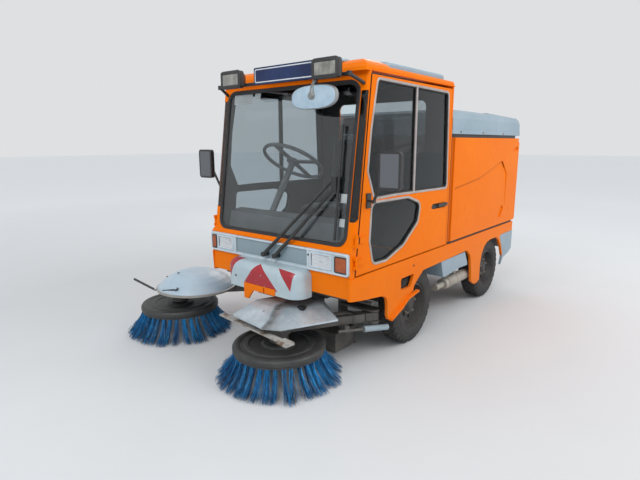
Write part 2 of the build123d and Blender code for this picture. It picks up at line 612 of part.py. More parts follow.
def work_lens(x):
    plane = Plane(origin=(x, at(WORK_LAMP_FRONT) + 3, WORK_LAMP_Z), x_dir=(1, 0, 0), z_dir=(0, 1, 0))
    return extrude(plane * RectangleRounded(WORK_LAMP_WIDTH - 2 * WORK_LENS_INSET,
                                            WORK_LAMP_HEIGHT - 2 * WORK_LENS_INSET, 6), amount=7)


def front_mirror():
    """Wide oval mirror on a short stalk under the bar, with a raised boss on its face."""
    plane = Plane(origin=(MIRROR_X, at(BAR_STATION - 40), MIRROR_Z), x_dir=(1, 0, 0), z_dir=(0, 1, 0))
    plate = extrude(plane.rotated((0, 0, -MIRROR_TILT)) * Ellipse(200, 66), amount=16)
    stalk = rod((MIRROR_X, at(BAR_STATION - 26), MIRROR_Z + 6), (MIRROR_X, at(BAR_STATION), BAR_Z), 8)
    boss = rod((MIRROR_X, at(BAR_STATION - 46), MIRROR_Z + 8), (MIRROR_X, at(BAR_STATION - 30), MIRROR_Z + 8), 20)
    return plate + stalk + boss


def lamp_bar():
    y = at(BAR_STATION)
    rack = rod((BAR_RIGHT_X, y, BAR_Z), (BAR_LEFT_X, y, BAR_Z), BAR_RADIUS)
    for x, reach in ((BAR_RIGHT_X, -50.0), (BAR_LEFT_X, 30.0)):
        foot_z = BAR_Z - 50.0
        rack += rod((x, y, BAR_Z), (x + reach, at(screen_station(foot_z) + 12), foot_z), BAR_RADIUS)
        rack += Pos(x, y, BAR_Z) * Cylinder(BAR_RADIUS + 5, 2 * BAR_RADIUS + 6)
    for x in WORK_LAMP_X:
        rack += work_lamp(x)
        rack += block(x - 14, x + 14, y - 12, y + 12, BAR_Z, WORK_LAMP_Z)
    for x in (SIGN_X[0] + 60, SIGN_X[1] - 150):
        rack += block(x - 12, x + 12, at(SIGN_FRONT + SIGN_THICK), y, BAR_Z - 8, BAR_Z + 10)
    return rack + front_mirror() - front_shell


front_shell = cab_front()
front_panel = lamp_panel()
save(front_panel, "lamp_panel")
lenses = [block(x0, x1, at(2), at(PANEL_THICK), z0, z1) for x0, x1, z0, z1 in HEADLAMPS]
lenses += [block(x0, x1, at(-4), at(PANEL_THICK), z0, z1) for x0, x1, z0, z1 in INDICATORS]
lenses += [work_lens(x) for x in WORK_LAMP_X]
save(Compound(lenses), "front_lamps")
save(lamp_bar(), "lamp_bar")
sign = block(SIGN_X[0], SIGN_X[1], at(SIGN_FRONT), at(SIGN_FRONT + SIGN_THICK), SIGN_Z[0], SIGN_Z[1])
save(fillet(sign.edges().filter_by(Axis.Y), 10), "sign_plate")


# Orange bracket on the front beam, turned down at its right end, and the moulded pale nose cover over it.
NOSE_HALF = 350.0
NOSE_FRONT = -125.0
NOSE_LOW_Z = HORN_LOW_Z + 5.0
NOSE_TOP_Z = PANEL_LOW_Z + 3.0
BRACKET_HALF = 150.0
BRACKET_FRONT = NOSE_FRONT - 3.0
BRACKET_PLATE = 12.0
BRACKET_DROP_Z = 456.0
BRACKET_LIP = 2.0
BRACKET_CHEEK = 42.0
BRACKET_SLANT = 50.0
SLOT_X = 45.0


def front_bracket():
    body = block(-BRACKET_HALF, BRACKET_HALF, at(BRACKET_FRONT), at(HORN_FRONT), NOSE_LOW_Z, RAIL_TOP_Z)
    body += block(-BRACKET_HALF, BRACKET_HALF, at(HORN_FRONT) - 1, at(FRONT_BEAM), NOSE_LOW_Z, RAIL_TOP_Z - 4)
    cheek_x = -BRACKET_HALF + BRACKET_CHEEK
    lip_z = NOSE_LOW_Z - BRACKET_LIP
    drop = [(-BRACKET_HALF, RAIL_TOP_Z), (-BRACKET_HALF, BRACKET_DROP_Z), (cheek_x, BRACKET_DROP_Z),
            (cheek_x + BRACKET_SLANT, lip_z), (BRACKET_HALF, lip_z), (BRACKET_HALF, RAIL_TOP_Z)]
    body += front_prism(drop, at(BRACKET_FRONT), at(BRACKET_FRONT) + BRACKET_PLATE)
    slot = block(SLOT_X - 6, SLOT_X + 6, at(BRACKET_FRONT) - 2, at(BRACKET_FRONT) + 30,
                 NOSE_LOW_Z - 12, RAIL_TOP_Z - 8)
    return body - slot


def nose_cover():
    """Deep hood with large round corners, notched over the bracket."""
    depth = -NOSE_FRONT
    body = block(-NOSE_HALF, NOSE_HALF, at(NOSE_FRONT), at(PANEL_THICK - 1), NOSE_LOW_Z, NOSE_TOP_Z)
    body = fillet(body.edges().filter_by(Axis.Z).group_by(Axis.Y)[0], min(90.0, depth * 0.72))
    top = body.faces().sort_by(Axis.Z)[-1]
    rim_edges = top.edges().filter_by(lambda e: e.center().Y < at(PANEL_THICK - 2))
    body = fillet(rim_edges, min(58.0, depth * 0.46))
    return body - block(-BRACKET_HALF - 1, BRACKET_HALF + 1, at(NOSE_FRONT) - 5, at(20), NOSE_LOW_Z - 1, RAIL_TOP_Z + 1)


bracket = front_bracket() - front_shell - chassis()
save(bracket, "front_bracket")
save(nose_cover() - front_shell - front_panel, "nose_cover")


# Cab roof: a flat pan with drip edges and a higher rounded brow in front, closed behind by the rear wall.
ROOF_SIDE_Z = DRIP_Z + ROOF_SIDE_RISE
ROOF_CROWN_Z = DRIP_Z + ROOF_CROWN_RISE
BROW_REAR = 430.0
ROOF_SKIN = 22.0
REAR_WINDOW_HALF = CAB_HALF_WIDTH - 224.0
REAR_WINDOW_LOW_Z = DRIP_Z - 505.0
REAR_WINDOW_TOP_Z = DRIP_Z - 85.0


def cab_roof():
    outline = [(SCREEN_TOP - 40, DRIP_Z), (SCREEN_TOP - 34, DRIP_Z + 22), (SCREEN_TOP - 8, ROOF_CROWN_Z - 34),
               (SCREEN_TOP + 34, ROOF_CROWN_Z - 10), (SCREEN_TOP + 92, ROOF_CROWN_Z),
               (BROW_REAR - 40, ROOF_CROWN_Z - 2), (BROW_REAR, ROOF_CROWN_Z - 12), (BROW_REAR, ROOF_SIDE_Z),
               (CAB_REAR, ROOF_SIDE_Z - 4), (CAB_REAR, DRIP_Z)]
    body = side_prism(outline, -CAB_HALF_WIDTH, CAB_HALF_WIDTH)
    half = CAB_HALF_WIDTH
    section = [(-half, DRIP_Z - 1), (-half, DRIP_Z + 20), (-half + 10, ROOF_SIDE_Z - 4), (-half + 34, ROOF_CROWN_Z - 26),
               (-half + 86, ROOF_CROWN_Z - 4), (-half + 150, ROOF_CROWN_Z + 2), (half - 150, ROOF_CROWN_Z + 2),
               (half - 86, ROOF_CROWN_Z - 4), (half - 34, ROOF_CROWN_Z - 26), (half - 10, ROOF_SIDE_Z - 4),
               (half, DRIP_Z + 20), (half, DRIP_Z - 1)]
    body = body & front_prism(section, at(100), at(CAB_REAR + 50))
    gutter = block(half - 1, half + 7, at(SEAM_TOP + 6), at(CAB_REAR), DRIP_Z, DRIP_Z + 7)
    body += gutter
    body += mirrored(gutter)
    inner = [(SEAM_TOP + 4, DRIP_Z - 1), (SEAM_TOP + 14, ROOF_SIDE_Z - ROOF_SKIN), (CAB_REAR - WALL_REAR_THICK,
             ROOF_SIDE_Z - ROOF_SKIN), (CAB_REAR - WALL_REAR_THICK, DRIP_Z - 1)]
    return body - side_prism(inner, -FLOOR_HALF, FLOOR_HALF)


def rear_window(y0, y1):
    half = REAR_WINDOW_HALF
    low, top = REAR_WINDOW_LOW_Z, REAR_WINDOW_TOP_Z
    return front_prism([(-half, low), (half, low), (half, top), (-half, top)], y0, y1, radius=50)


def rear_wall():
    wall = block(-CAB_HALF_WIDTH, CAB_HALF_WIDTH, at(CAB_REAR - WALL_REAR_THICK), at(CAB_REAR), RAIL_TOP_Z, DRIP_Z)
    wall -= rear_window(at(CAB_REAR - WALL_REAR_THICK - 10), at(CAB_REAR + 10))
    return wall - skirt_left - skirt_right


save(cab_roof(), "cab_roof")
save(rear_wall(), "cab_rear_wall")
rear_pane = rear_window(at(CAB_REAR - 14), at(CAB_REAR - 8))
save(Compound([windscreen(), corner_pane(), mirrored(corner_pane()), rear_pane]), "cab_glass")


# Ventilation hood on the roof behind the brow, and a low round vent cap on the brow.
HOOD_FRONT = BROW_REAR + 6.0
HOOD_REAR = CAB_REAR - 22.0
HOOD_HALF = CAB_HALF_WIDTH - 54.0
HOOD_TOP_Z = ROOF_CROWN_Z + 5.0
HOOD_CORNER = 70.0
VENT_X = 370.0
VENT_STATION = 262.0
VENT_RADIUS = 92.0


def roof_hood():
    hood = block(-HOOD_HALF, HOOD_HALF, at(HOOD_FRONT), at(HOOD_REAR), ROOF_SIDE_Z, HOOD_TOP_Z)
    hood = fillet(hood.edges().filter_by(Axis.Z), HOOD_CORNER)
    hood = fillet(hood.faces().sort_by(Axis.Z)[-1].edges(), 24)
    return [hood, vent_cap()]


def vent_cap():
    profile = [(0, 0), (VENT_RADIUS, 0), (VENT_RADIUS, 8), (VENT_RADIUS - 18, 20), (VENT_RADIUS - 50, 28), (0, 30)]
    cap = revolve(Plane.XZ * Polygon(*profile, align=None), axis=Axis.Z)
    return Pos(VENT_X, at(VENT_STATION), ROOF_CROWN_Z - 14) * cap - cab_roof()


save(Compound([solid for piece in roof_hood() for solid in piece.solids()]), "roof_hood")


# Doors, hinged on upright pins at the front seam.
DOOR_THICK = 35.0
DOOR_GLASS = 6.0
DOOR_OUTLINE = [(SEAM_LOW, DOOR_LOW_Z), (SEAM_TOP - 2, DOOR_TOP_Z), (DOOR_REAR, DOOR_TOP_Z), (DOOR_REAR, DOOR_LOW_Z)]
WINDOW_TOP_Z = DOOR_TOP_Z - 26.0
UPPER_WINDOW = [(284, WINDOW_TOP_Z), (DOOR_REAR - 66, WINDOW_TOP_Z - 10), (DOOR_REAR - 28, 1168), (497, 1177),
                (266, 1172), (192, 1340), (222, 1590)]
LOWER_WINDOW = [(240, 1139), (690, 1135), (868, 1080), (838, 950), (640, 812), (420, 744), (262, 748), (222, 900)]
UPPER_CORNER = 24.0
LOWER_CORNER = 46.0
DIVIDER = (762.0, 778.0)
HINGE_PIN_X = CAB_HALF_WIDTH + 12.0
HINGE_PIN_STATION = 60.0
DOOR_HINGES = (790.0, 925.0)
DOOR_PIN_RADIUS = 6.0
DOOR_EAR_RADIUS = 11.0
EAR_HEIGHT = 20.0
HANDLE = (1140.0, 1292.0)
HANDLE_Z = 1036.0


def upright(z0, z1, radius):
    """Round upright piece on the door's hinge line."""
    return Pos(HINGE_PIN_X, at(HINGE_PIN_STATION), (z0 + z1) / 2) * Cylinder(radius, z1 - z0)


def door_hinge_ears():
    """Two pairs of ears with their pins on the left pillar."""
    ears = []
    for z in DOOR_HINGES:
        low, high = z - 2 * EAR_HEIGHT, z + EAR_HEIGHT
        ear = upright(low, low + EAR_HEIGHT, DOOR_EAR_RADIUS) + upright(high, high + EAR_HEIGHT, DOOR_EAR_RADIUS)
        ear += upright(low, high + EAR_HEIGHT, DOOR_PIN_RADIUS)
        for foot in (low, high):
            ear += block(CAB_HALF_WIDTH - 2, HINGE_PIN_X, at(HINGE_PIN_STATION) - EAR_HEIGHT,
                         at(HINGE_PIN_STATION), foot, foot + EAR_HEIGHT)
        ears.append(ear)
    return ears


def door_hinge_leaf(z):
    low, high = z - EAR_HEIGHT + SOFT_CLEAR, z + EAR_HEIGHT - SOFT_CLEAR
    leaf = upright(low, high, DOOR_EAR_RADIUS)
    leaf += block(CAB_HALF_WIDTH, HINGE_PIN_X - 2, at(HINGE_PIN_STATION), at(seam_station(z)) + 60, low, high)
    return leaf - upright(low - 10, high + 10, DOOR_PIN_RADIUS + PIN_CLEAR)


def door_panel():
    inner_x = CAB_HALF_WIDTH - DOOR_THICK
    panel = side_prism(DOOR_OUTLINE, inner_x, CAB_HALF_WIDTH)
    panel -= side_prism(UPPER_WINDOW, inner_x - 5, CAB_HALF_WIDTH + 5, radius=UPPER_CORNER)
    panel -= side_prism(LOWER_WINDOW, inner_x - 5, CAB_HALF_WIDTH + 5, radius=LOWER_CORNER)
    panel -= side_prism([(HANDLE[0] - 100, HANDLE_Z - 12), (HANDLE[0] - 60, HANDLE_Z - 24), (HANDLE[1] - 10, HANDLE_Z - 22),
                         (HANDLE[1] - 8, HANDLE_Z + 12), (HANDLE[0] - 70, HANDLE_Z + 18)],
                        CAB_HALF_WIDTH - 10, CAB_HALF_WIDTH + 5, radius=8)
    panel += block(inner_x, CAB_HALF_WIDTH - 3, at(DIVIDER[0]), at(DIVIDER[1]), 1170, WINDOW_TOP_Z + 4)
    for z in DOOR_HINGES:
        panel += door_hinge_leaf(z)
    return panel


def door_glass():
    mid_x = CAB_HALF_WIDTH - DOOR_THICK / 2
    upper = side_prism(UPPER_WINDOW, mid_x - DOOR_GLASS / 2, mid_x + DOOR_GLASS / 2, radius=UPPER_CORNER)
    lower = side_prism(LOWER_WINDOW, mid_x - DOOR_GLASS / 2, mid_x + DOOR_GLASS / 2, radius=LOWER_CORNER)
    divider = block(0, CAB_HALF_WIDTH, at(DIVIDER[0]), at(DIVIDER[1]), 1160, WINDOW_TOP_Z + 10)
    return Compound((upper - divider).solids() + lower.solids())


def door_mirror():
    """Mirror head on a bent arm from the door's front edge, and the door's grip bar in its hollow."""
    x = CAB_HALF_WIDTH
    head = block(770, 920, at(120), at(152), 1240, 1460)
    head = fillet(head.edges().filter_by(Axis.Y), 24)
    elbow = (x + 60, at(165), 1160)
    arm = rod((x + 6, at(190), 1160), elbow, 9)
    arm += rod(elbow, (780, at(150), 1290), 9)
    arm += Pos(*elbow) * Rot(90, 0, 0) * Cylinder(11, 20)
    bracket = block(x, x + 10, at(170), at(215), 1114, 1206)
    grip = block(x + 4, x + 16, at(HANDLE[0]), at(HANDLE[1]), HANDLE_Z - 12, HANDLE_Z + 12)
    grip = fillet(grip.edges().filter_by(Axis.X), 8)
    grip += block(x - 10, x + 6, at(HANDLE[1] - 26), at(HANDLE[1] - 12), HANDLE_Z - 10, HANDLE_Z + 10)
    return [head + arm + bracket, grip - door_left]


for ear in door_hinge_ears():
    front_shell += ear
    front_shell += mirrored(ear)
save(front_shell, "cab_front")
door_left = door_panel()
mirror_left = Compound([solid for piece in door_mirror() for solid in piece.solids()])
for side, turn in (("left", lambda s: s), ("right", mirrored)):
    save(turn(door_left), f"door_{side}")
    save(turn(door_glass()), f"door_glass_{side}")
    save(turn(mirror_left), f"door_mirror_{side}")


# Cab inside: seat on its box, dashboard and steering column with its wheel, on the vehicle's right.
SEAT_X = -230.0
SEAT_FRONT = 750.0
SEAT_Z = 1010.0
SEAT_HALF = 230.0
STEER_HUB = (480.0, 1370.0)
STEER_FOOT = (240.0, 1000.0)
STEER_RING_RADIUS = 235.0
STEER_RING_SECTION = 14.0


def seat():
    cushion = block(SEAT_X - SEAT_HALF, SEAT_X + SEAT_HALF, at(SEAT_FRONT), at(SEAT_FRONT + 450), SEAT_Z - 110, SEAT_Z)
    cushion = fillet(cushion.edges(), 25)
    back = side_prism([(SEAT_FRONT + 370, SEAT_Z - 20), (SEAT_FRONT + 450, SEAT_Z + 550), (SEAT_FRONT + 520, SEAT_Z + 550),
                       (SEAT_FRONT + 460, SEAT_Z - 20)], SEAT_X - SEAT_HALF + 10, SEAT_X + SEAT_HALF - 10, radius=18)
    head = side_prism([(SEAT_FRONT + 445, SEAT_Z + 570), (SEAT_FRONT + 465, SEAT_Z + 730),
                       (SEAT_FRONT + 525, SEAT_Z + 730), (SEAT_FRONT + 525, SEAT_Z + 550)],
                      SEAT_X - 120, SEAT_X + 120, radius=16)
    base = block(SEAT_X - 180, SEAT_X + 180, at(SEAT_FRONT + 50), at(SEAT_FRONT + 430), RAIL_TOP_Z + FLOOR_THICK,
                 SEAT_Z - 105)
    posts = block(SEAT_X - 60, SEAT_X + 60, at(SEAT_FRONT + 460), at(SEAT_FRONT + 500), SEAT_Z + 530, SEAT_Z + 590)
    return base + cushion + back + head + posts


def steering():
    hub = Vector(SEAT_X, at(STEER_HUB[0]), STEER_HUB[1])
    foot = Vector(SEAT_X, at(STEER_FOOT[0]), STEER_FOOT[1])
    plane = Plane(origin=hub, z_dir=hub - foot)
    r, s = STEER_RING_RADIUS, STEER_RING_SECTION
    hexagon = [(r + s * math.cos(math.radians(60 * k)), s * math.sin(math.radians(60 * k))) for k in range(6)]
    ring = revolve(Plane.XZ * Polygon(*hexagon, align=None), axis=Axis.Z)
    column = rod((foot.X, foot.Y, foot.Z), (hub.X, hub.Y, hub.Z), 24)
    return column + plane * (ring + Box(2 * r, 34, 14) + Pos(0, -r / 2, 0) * Box(30, r, 12) + Cylinder(50, 20))


def dashboard():
    low = RAIL_TOP_Z + FLOOR_THICK
    outline = [(100, low), (100, 860), (130, 1000), (230, 1020), (300, 960), (300, 900), (190, 860), (160, low)]
    return side_prism(outline, -CAB_HALF_WIDTH + 94, CAB_HALF_WIDTH - 94) + steering()


save(seat(), "driver_seat")
save(dashboard(), "dashboard")


# Wiper: two parallel arms from the panel to the blade's head.
WIPER_PIVOTS = [(-45.0, 762.0), (61.0, 764.0)]
WIPER_HEAD = (490.0, 1260.0)
BLADE_LOW = (521.0, 920.0)
BLADE_TOP = (505.0, 1616.0)
WIPER_PROUD = 16.0


def over_screen(x, z, proud):
    """Point ahead of the screen's raked surface."""
    return (x, at(screen_station(z) - proud), z)


def wiper():
    head_x, head_z = WIPER_HEAD
    head = over_screen(head_x, head_z, WIPER_PROUD + 14)
    body = Pos(*head) * Box(40, 16, 96)
    for (x, z), drop in zip(WIPER_PIVOTS, (-32.0, 32.0)):
        end = (head[0] - 4, head[1], head[2] - drop)
        body += rod((x, at(-34), z), end, 13, 8)
        body += rod((x, at(-46), z), (x, at(RECESS_DEPTH), z), 17)
    low = over_screen(BLADE_LOW[0], BLADE_LOW[1], WIPER_PROUD)
    top = over_screen(BLADE_TOP[0], BLADE_TOP[1], WIPER_PROUD)
    return body + rod(low, top, 9)


save(wiper() - front_panel, "wiper")


# Hopper: open-backed box with a pressed wedge and two pockets in each side, inset front strips, a pale
# fan cover on top, a tailgate hinged at its top edge and lugs at the tipping pin.
HOPPER_LOW_Z = SKIRT_TOP_Z + 20.0
HOPPER_WALL = 30.0
STRIP_WIDTH = 48.0
STRIP_DEPTH = 8.0
WEDGE_DEPTH = 10.0
WEDGE_LOW_Z = 760.0
WEDGE_TOP_Z = 1340.0
POCKET_DEPTH = 12.0
# Crease of the pressed wedge: distance behind the hopper's front, z
CREASE = [(72, 1134), (98, 1148), (592, 1201), (704, 1226), (1064, 1322), (1143, 1333), (1211, 1273), (1280, 1217)]
OVAL_POCKET = [(1120, 792), (1156, 888), (1214, 896), (1246, 868), (1196, 806), (1160, 780)]
TOP_POCKET = [(1408, 1424), (1436, 1451), (1566, 1466), (1566, 1428)]
COVER_RISE = 222.0
COVER_FOOT = 27.0
COVER_FLANGE = 35.0
COVER_REAR = HOPPER_REAR + 35.0
LID_FRONT = HOPPER_REAR - 680.0
GATE_HINGE_Z = HOPPER_TOP_Z - 20.0
GATE_PIN_RADIUS = 8.0
GATE_STATION = HOPPER_REAR + 23.0
GATE_EARS = (-500.0, -60.0, 480.0)
GATE_EAR_THICK = 16.0
GATE_EAR_RADIUS = 14.0
INLET_RADIUS = 88.0
DUCT_STATION = HOPPER_FRONT + 153.0


def hopper_side_cuts():
    """Left side's pressings: inset strip, wedge that fades downwards, and two pockets."""
    x = BODY_HALF_WIDTH
    crease = [(HOPPER_FRONT + d, z) for d, z in CREASE]
    wedge = side_prism(crease + [(crease[-1][0], WEDGE_LOW_Z), (crease[0][0], WEDGE_LOW_Z)], x - 40, x + 10)
    wedge &= front_prism([(x + 1, WEDGE_LOW_Z - 1), (x + 20, WEDGE_LOW_Z - 1), (x + 20, WEDGE_TOP_Z),
                          (x - WEDGE_DEPTH, WEDGE_TOP_Z)], at(HOPPER_FRONT), at(HOPPER_REAR))
    strip = block(x - STRIP_DEPTH, x + 10, at(HOPPER_FRONT) - 1, at(HOPPER_FRONT + STRIP_WIDTH),
                  HOPPER_LOW_Z - 1, HOPPER_TOP_Z + 1)
    pockets = [side_prism([(HOPPER_FRONT + d, z) for d, z in pocket], x - POCKET_DEPTH, x + 10, radius=8)
               for pocket in (OVAL_POCKET, TOP_POCKET)]
    return [wedge, strip] + pockets


def hopper():
    body = block(-BODY_HALF_WIDTH, BODY_HALF_WIDTH, at(HOPPER_FRONT), at(HOPPER_REAR), HOPPER_LOW_Z, HOPPER_TOP_Z)
    body -= block(-BODY_HALF_WIDTH + HOPPER_WALL, BODY_HALF_WIDTH - HOPPER_WALL, at(HOPPER_FRONT + HOPPER_WALL),
                  at(HOPPER_REAR + 10), HOPPER_LOW_Z + HOPPER_WALL, HOPPER_TOP_Z - HOPPER_WALL)
    body -= Pos(0, at(DUCT_STATION), HOPPER_LOW_Z) * Cylinder(INLET_RADIUS, 100)
    for cut in hopper_side_cuts():
        body -= cut
        body -= mirrored(cut)
    for side in (-1, 1):
        x = side * (HINGE_LUG_X - LUG_THICK - 6)
        lug = block(x - LUG_THICK / 2, x + LUG_THICK / 2, at(HINGE_STATION - 60), at(HINGE_STATION),
                    HINGE_Z, HOPPER_LOW_Z + 4)
        lug += disc_x(x - LUG_THICK / 2, x + LUG_THICK / 2, HINGE_STATION, HINGE_Z, LUG_RADIUS + 3)
        lug -= disc_x(x - LUG_THICK, x + LUG_THICK, HINGE_STATION, HINGE_Z, HINGE_PIN_RADIUS + PIN_CLEAR)
        body += lug
    for ear in hopper_gate_ears():
        body += ear
    return body


def hopper_cover():
    """Moulded cover: inset foot, bolting flange, rounded dome and the hatch lid at its rear."""
    half = BODY_HALF_WIDTH
    foot_top = HOPPER_TOP_Z + COVER_FOOT
    flange_top = foot_top + COVER_FLANGE
    top = HOPPER_TOP_Z + COVER_RISE
    cover = block(-half + 30, half - 30, at(HOPPER_FRONT + 30), at(HOPPER_REAR - 30), HOPPER_TOP_Z, foot_top + 1)
    flange = block(-half, half, at(HOPPER_FRONT + 4), at(COVER_REAR), foot_top, flange_top)
    cover += fillet(flange.edges().filter_by(Axis.Z), 30)
    side_view = [(HOPPER_FRONT + 12, flange_top - 1), (HOPPER_FRONT + 16, top - 70), (HOPPER_FRONT + 34, top - 22),
                 (HOPPER_FRONT + 70, top), (HOPPER_FRONT + 677, top - 8), (COVER_REAR - 70, top - 26),
                 (COVER_REAR - 30, top - 46), (COVER_REAR - 12, top - 92), (COVER_REAR - 8, flange_top - 1)]
    front_view = [(-half + 8, flange_top - 2), (-half + 13, top - 74), (-half + 30, top - 26), (-half + 66, top - 4),
                  (-half + 130, top + 2), (half - 130, top + 2), (half - 66, top - 4), (half - 30, top - 26),
                  (half - 13, top - 74), (half - 8, flange_top - 2)]
    dome = side_prism(side_view, -half, half) & front_prism(front_view, at(HOPPER_FRONT), at(COVER_REAR))
    lid = side_prism([(LID_FRONT, top - 14), (LID_FRONT, top + 3), (COVER_REAR - 60, top - 14), (COVER_REAR - 60, top - 36)],
                     -half + 90, half - 90)
    return cover + dome + lid


def hopper_gate_ears():
    ears = []
    for x in GATE_EARS:
        ear = block(x - GATE_EAR_THICK / 2, x + GATE_EAR_THICK / 2, at(HOPPER_REAR) - 2, at(GATE_STATION),
                    GATE_HINGE_Z - GATE_EAR_RADIUS, GATE_HINGE_Z + GATE_EAR_RADIUS)
        ear += disc_x(x - GATE_EAR_THICK / 2, x + GATE_EAR_THICK / 2, GATE_STATION, GATE_HINGE_Z, GATE_EAR_RADIUS)
        ear += disc_x(x, x + GATE_EAR_THICK * 1.6, GATE_STATION, GATE_HINGE_Z, GATE_PIN_RADIUS)
        ears.append(ear)
    return ears


def gate_side_ears():
    ears = []
    for x in GATE_EARS:
        mid = x + GATE_EAR_THICK + 1
        x0, x1 = mid - GATE_EAR_THICK / 2, mid + GATE_EAR_THICK / 2
        ear = block(x0, x1, at(GATE_STATION) - 12, at(GATE_STATION) + 12, GATE_HINGE_Z - 24, GATE_HINGE_Z)
        ear += disc_x(x0, x1, GATE_STATION, GATE_HINGE_Z, GATE_EAR_RADIUS)
        ear -= disc_x(mid - 20, mid + 20, GATE_STATION, GATE_HINGE_Z, GATE_PIN_RADIUS + PIN_CLEAR)
        ears.append(ear)
    return ears


GATE_FRAME = 70.0
GATE_PANEL_DEPTH = 12.0


def tailgate():
    """Flat gate with two panels set in between its frame and the middle bar."""
    half = BODY_HALF_WIDTH - 2
    front, rear = at(HOPPER_REAR + CLEAR), at(HOPPER_REAR + CLEAR + TAILGATE_THICK)
    low, top = HOPPER_LOW_Z + 4, GATE_HINGE_Z - 20
    gate = block(-half, half, front, rear, low, top)
    gate = fillet(gate.edges().filter_by(Axis.Z).group_by(Axis.Y)[-1], 14)
    for side in (-1, 1):
        x0, x1 = sorted((side * GATE_FRAME / 2, side * (half - GATE_FRAME)))
        gate -= front_prism([(x0, low + GATE_FRAME), (x1, low + GATE_FRAME), (x1, top - GATE_FRAME), (x0, top - GATE_FRAME)],
                            rear - GATE_PANEL_DEPTH, rear + 5, radius=24)
    for ear in gate_side_ears():
        gate += ear
    return gate


save(hopper(), "hopper_body")
save(hopper_cover(), "hopper_cover")
save(tailgate(), "tailgate")


# Suction mouth between the arms, and the duct that runs over the axle and up to the hopper's inlet.
MOUTH_HALF = 300.0
MOUTH_DEPTH = 240.0
MOUTH_LOW_Z = 8.0
MOUTH_TOP_Z = 150.0
MOUTH_WALL = 12.0
DUCT_RADIUS = 82.0
DUCT_WALL = 6.0
DUCT_Z = 441.0


def suction_mouth():
    hood = block(-MOUTH_HALF, MOUTH_HALF, -MOUTH_DEPTH / 2, MOUTH_DEPTH / 2, MOUTH_LOW_Z, MOUTH_TOP_Z)
    hood -= block(-MOUTH_HALF + MOUTH_WALL, MOUTH_HALF - MOUTH_WALL, -MOUTH_DEPTH / 2 + MOUTH_WALL,
                  MOUTH_DEPTH / 2 - MOUTH_WALL, MOUTH_LOW_Z - 1, MOUTH_TOP_Z - MOUTH_WALL)
    hood -= Pos(0, 0, MOUTH_TOP_Z) * Cylinder(DUCT_RADIUS - 8, 60)
    stay = block(RAIL_X - 14, RAIL_X + 14, -8, 8, MOUTH_TOP_Z - 4, RAIL_LOW_Z)
    return hood + stay + mirrored(stay)


def suction_duct():
    """Eight-sided duct with large bends."""
    path = FilletPolyline((0, 0, MOUTH_TOP_Z), (0, 0, DUCT_Z), (0, at(DUCT_STATION), DUCT_Z),
                          (0, at(DUCT_STATION), HOPPER_LOW_Z - SOFT_CLEAR), radius=120)
    start = Plane(origin=(0, 0, MOUTH_TOP_Z), z_dir=(0, 0, 1)) * Rot(0, 0, 22.5)
    outer = sweep(start * RegularPolygon(DUCT_RADIUS, 8), path=path)
    return outer - sweep(start * RegularPolygon(DUCT_RADIUS - DUCT_WALL, 8), path=path)


save(suction_mouth(), "suction_mouth")
save(suction_duct(), "suction_duct")


# Broom arm, modelled for the left side pointing straight ahead from its pivot, then turned to rest.
HUB_Z = DISC_LOW_Z + DISC_THICK
ARM_LOW_Z = ARM_Z - ARM_HEIGHT / 2
ARM_TOP_Z = ARM_Z + ARM_HEIGHT / 2
MOTOR_RADIUS = 62.0
HUB_PLATE_RADIUS = 80.0
BOSS_OUTER = 40.0
TONGUE_HALF = 14.0
CHEEK_OUTER = ARM_WIDTH / 2 + 4
HOSE_RADIUS = 8.0
# Flat bumper bar ahead of the left hub: ends given from the hub
BAR_END_RIGHT = (-355.0, -310.0)
BAR_END_LEFT = (318.0, -21.0)
BAR_HALF = 21.0
BAR_THICK = 12.0
BAR_LOW_Z = ARM_Z + 6.0
# Pressure cylinder slung beneath the arm: points from the pivot, x, y, z
CYLINDER_REAR = (30.0, 100.0, 239.0)
CYLINDER_MID = (62.0, -100.0, 261.0)
CYLINDER_FRONT = (95.0, -300.0, 284.0)
CYLINDER_RADIUS = 21.0
PISTON_RADIUS = 9.0


def arm_boss():
    """Swing boss on the upright pin, with the tongue that takes the lift pin."""
    boss = Pos(0, 0, ARM_Z) * Cylinder(BOSS_OUTER, ARM_HEIGHT)
    boss += block(-ARM_WIDTH / 2, ARM_WIDTH / 2, -LIFT_OFFSET + 32, 0, ARM_LOW_Z, ARM_TOP_Z)
    boss += block(-TONGUE_HALF, TONGUE_HALF, -LIFT_OFFSET - 24, -LIFT_OFFSET + 34, ARM_LOW_Z, ARM_TOP_Z)
    boss -= Pos(0, 0, ARM_Z) * Cylinder(PIN_RADIUS + PIN_CLEAR, ARM_HEIGHT + 10)
    boss -= rod((-60, -LIFT_OFFSET, ARM_Z), (60, -LIFT_OFFSET, ARM_Z), PIN_RADIUS + PIN_CLEAR)
    return boss


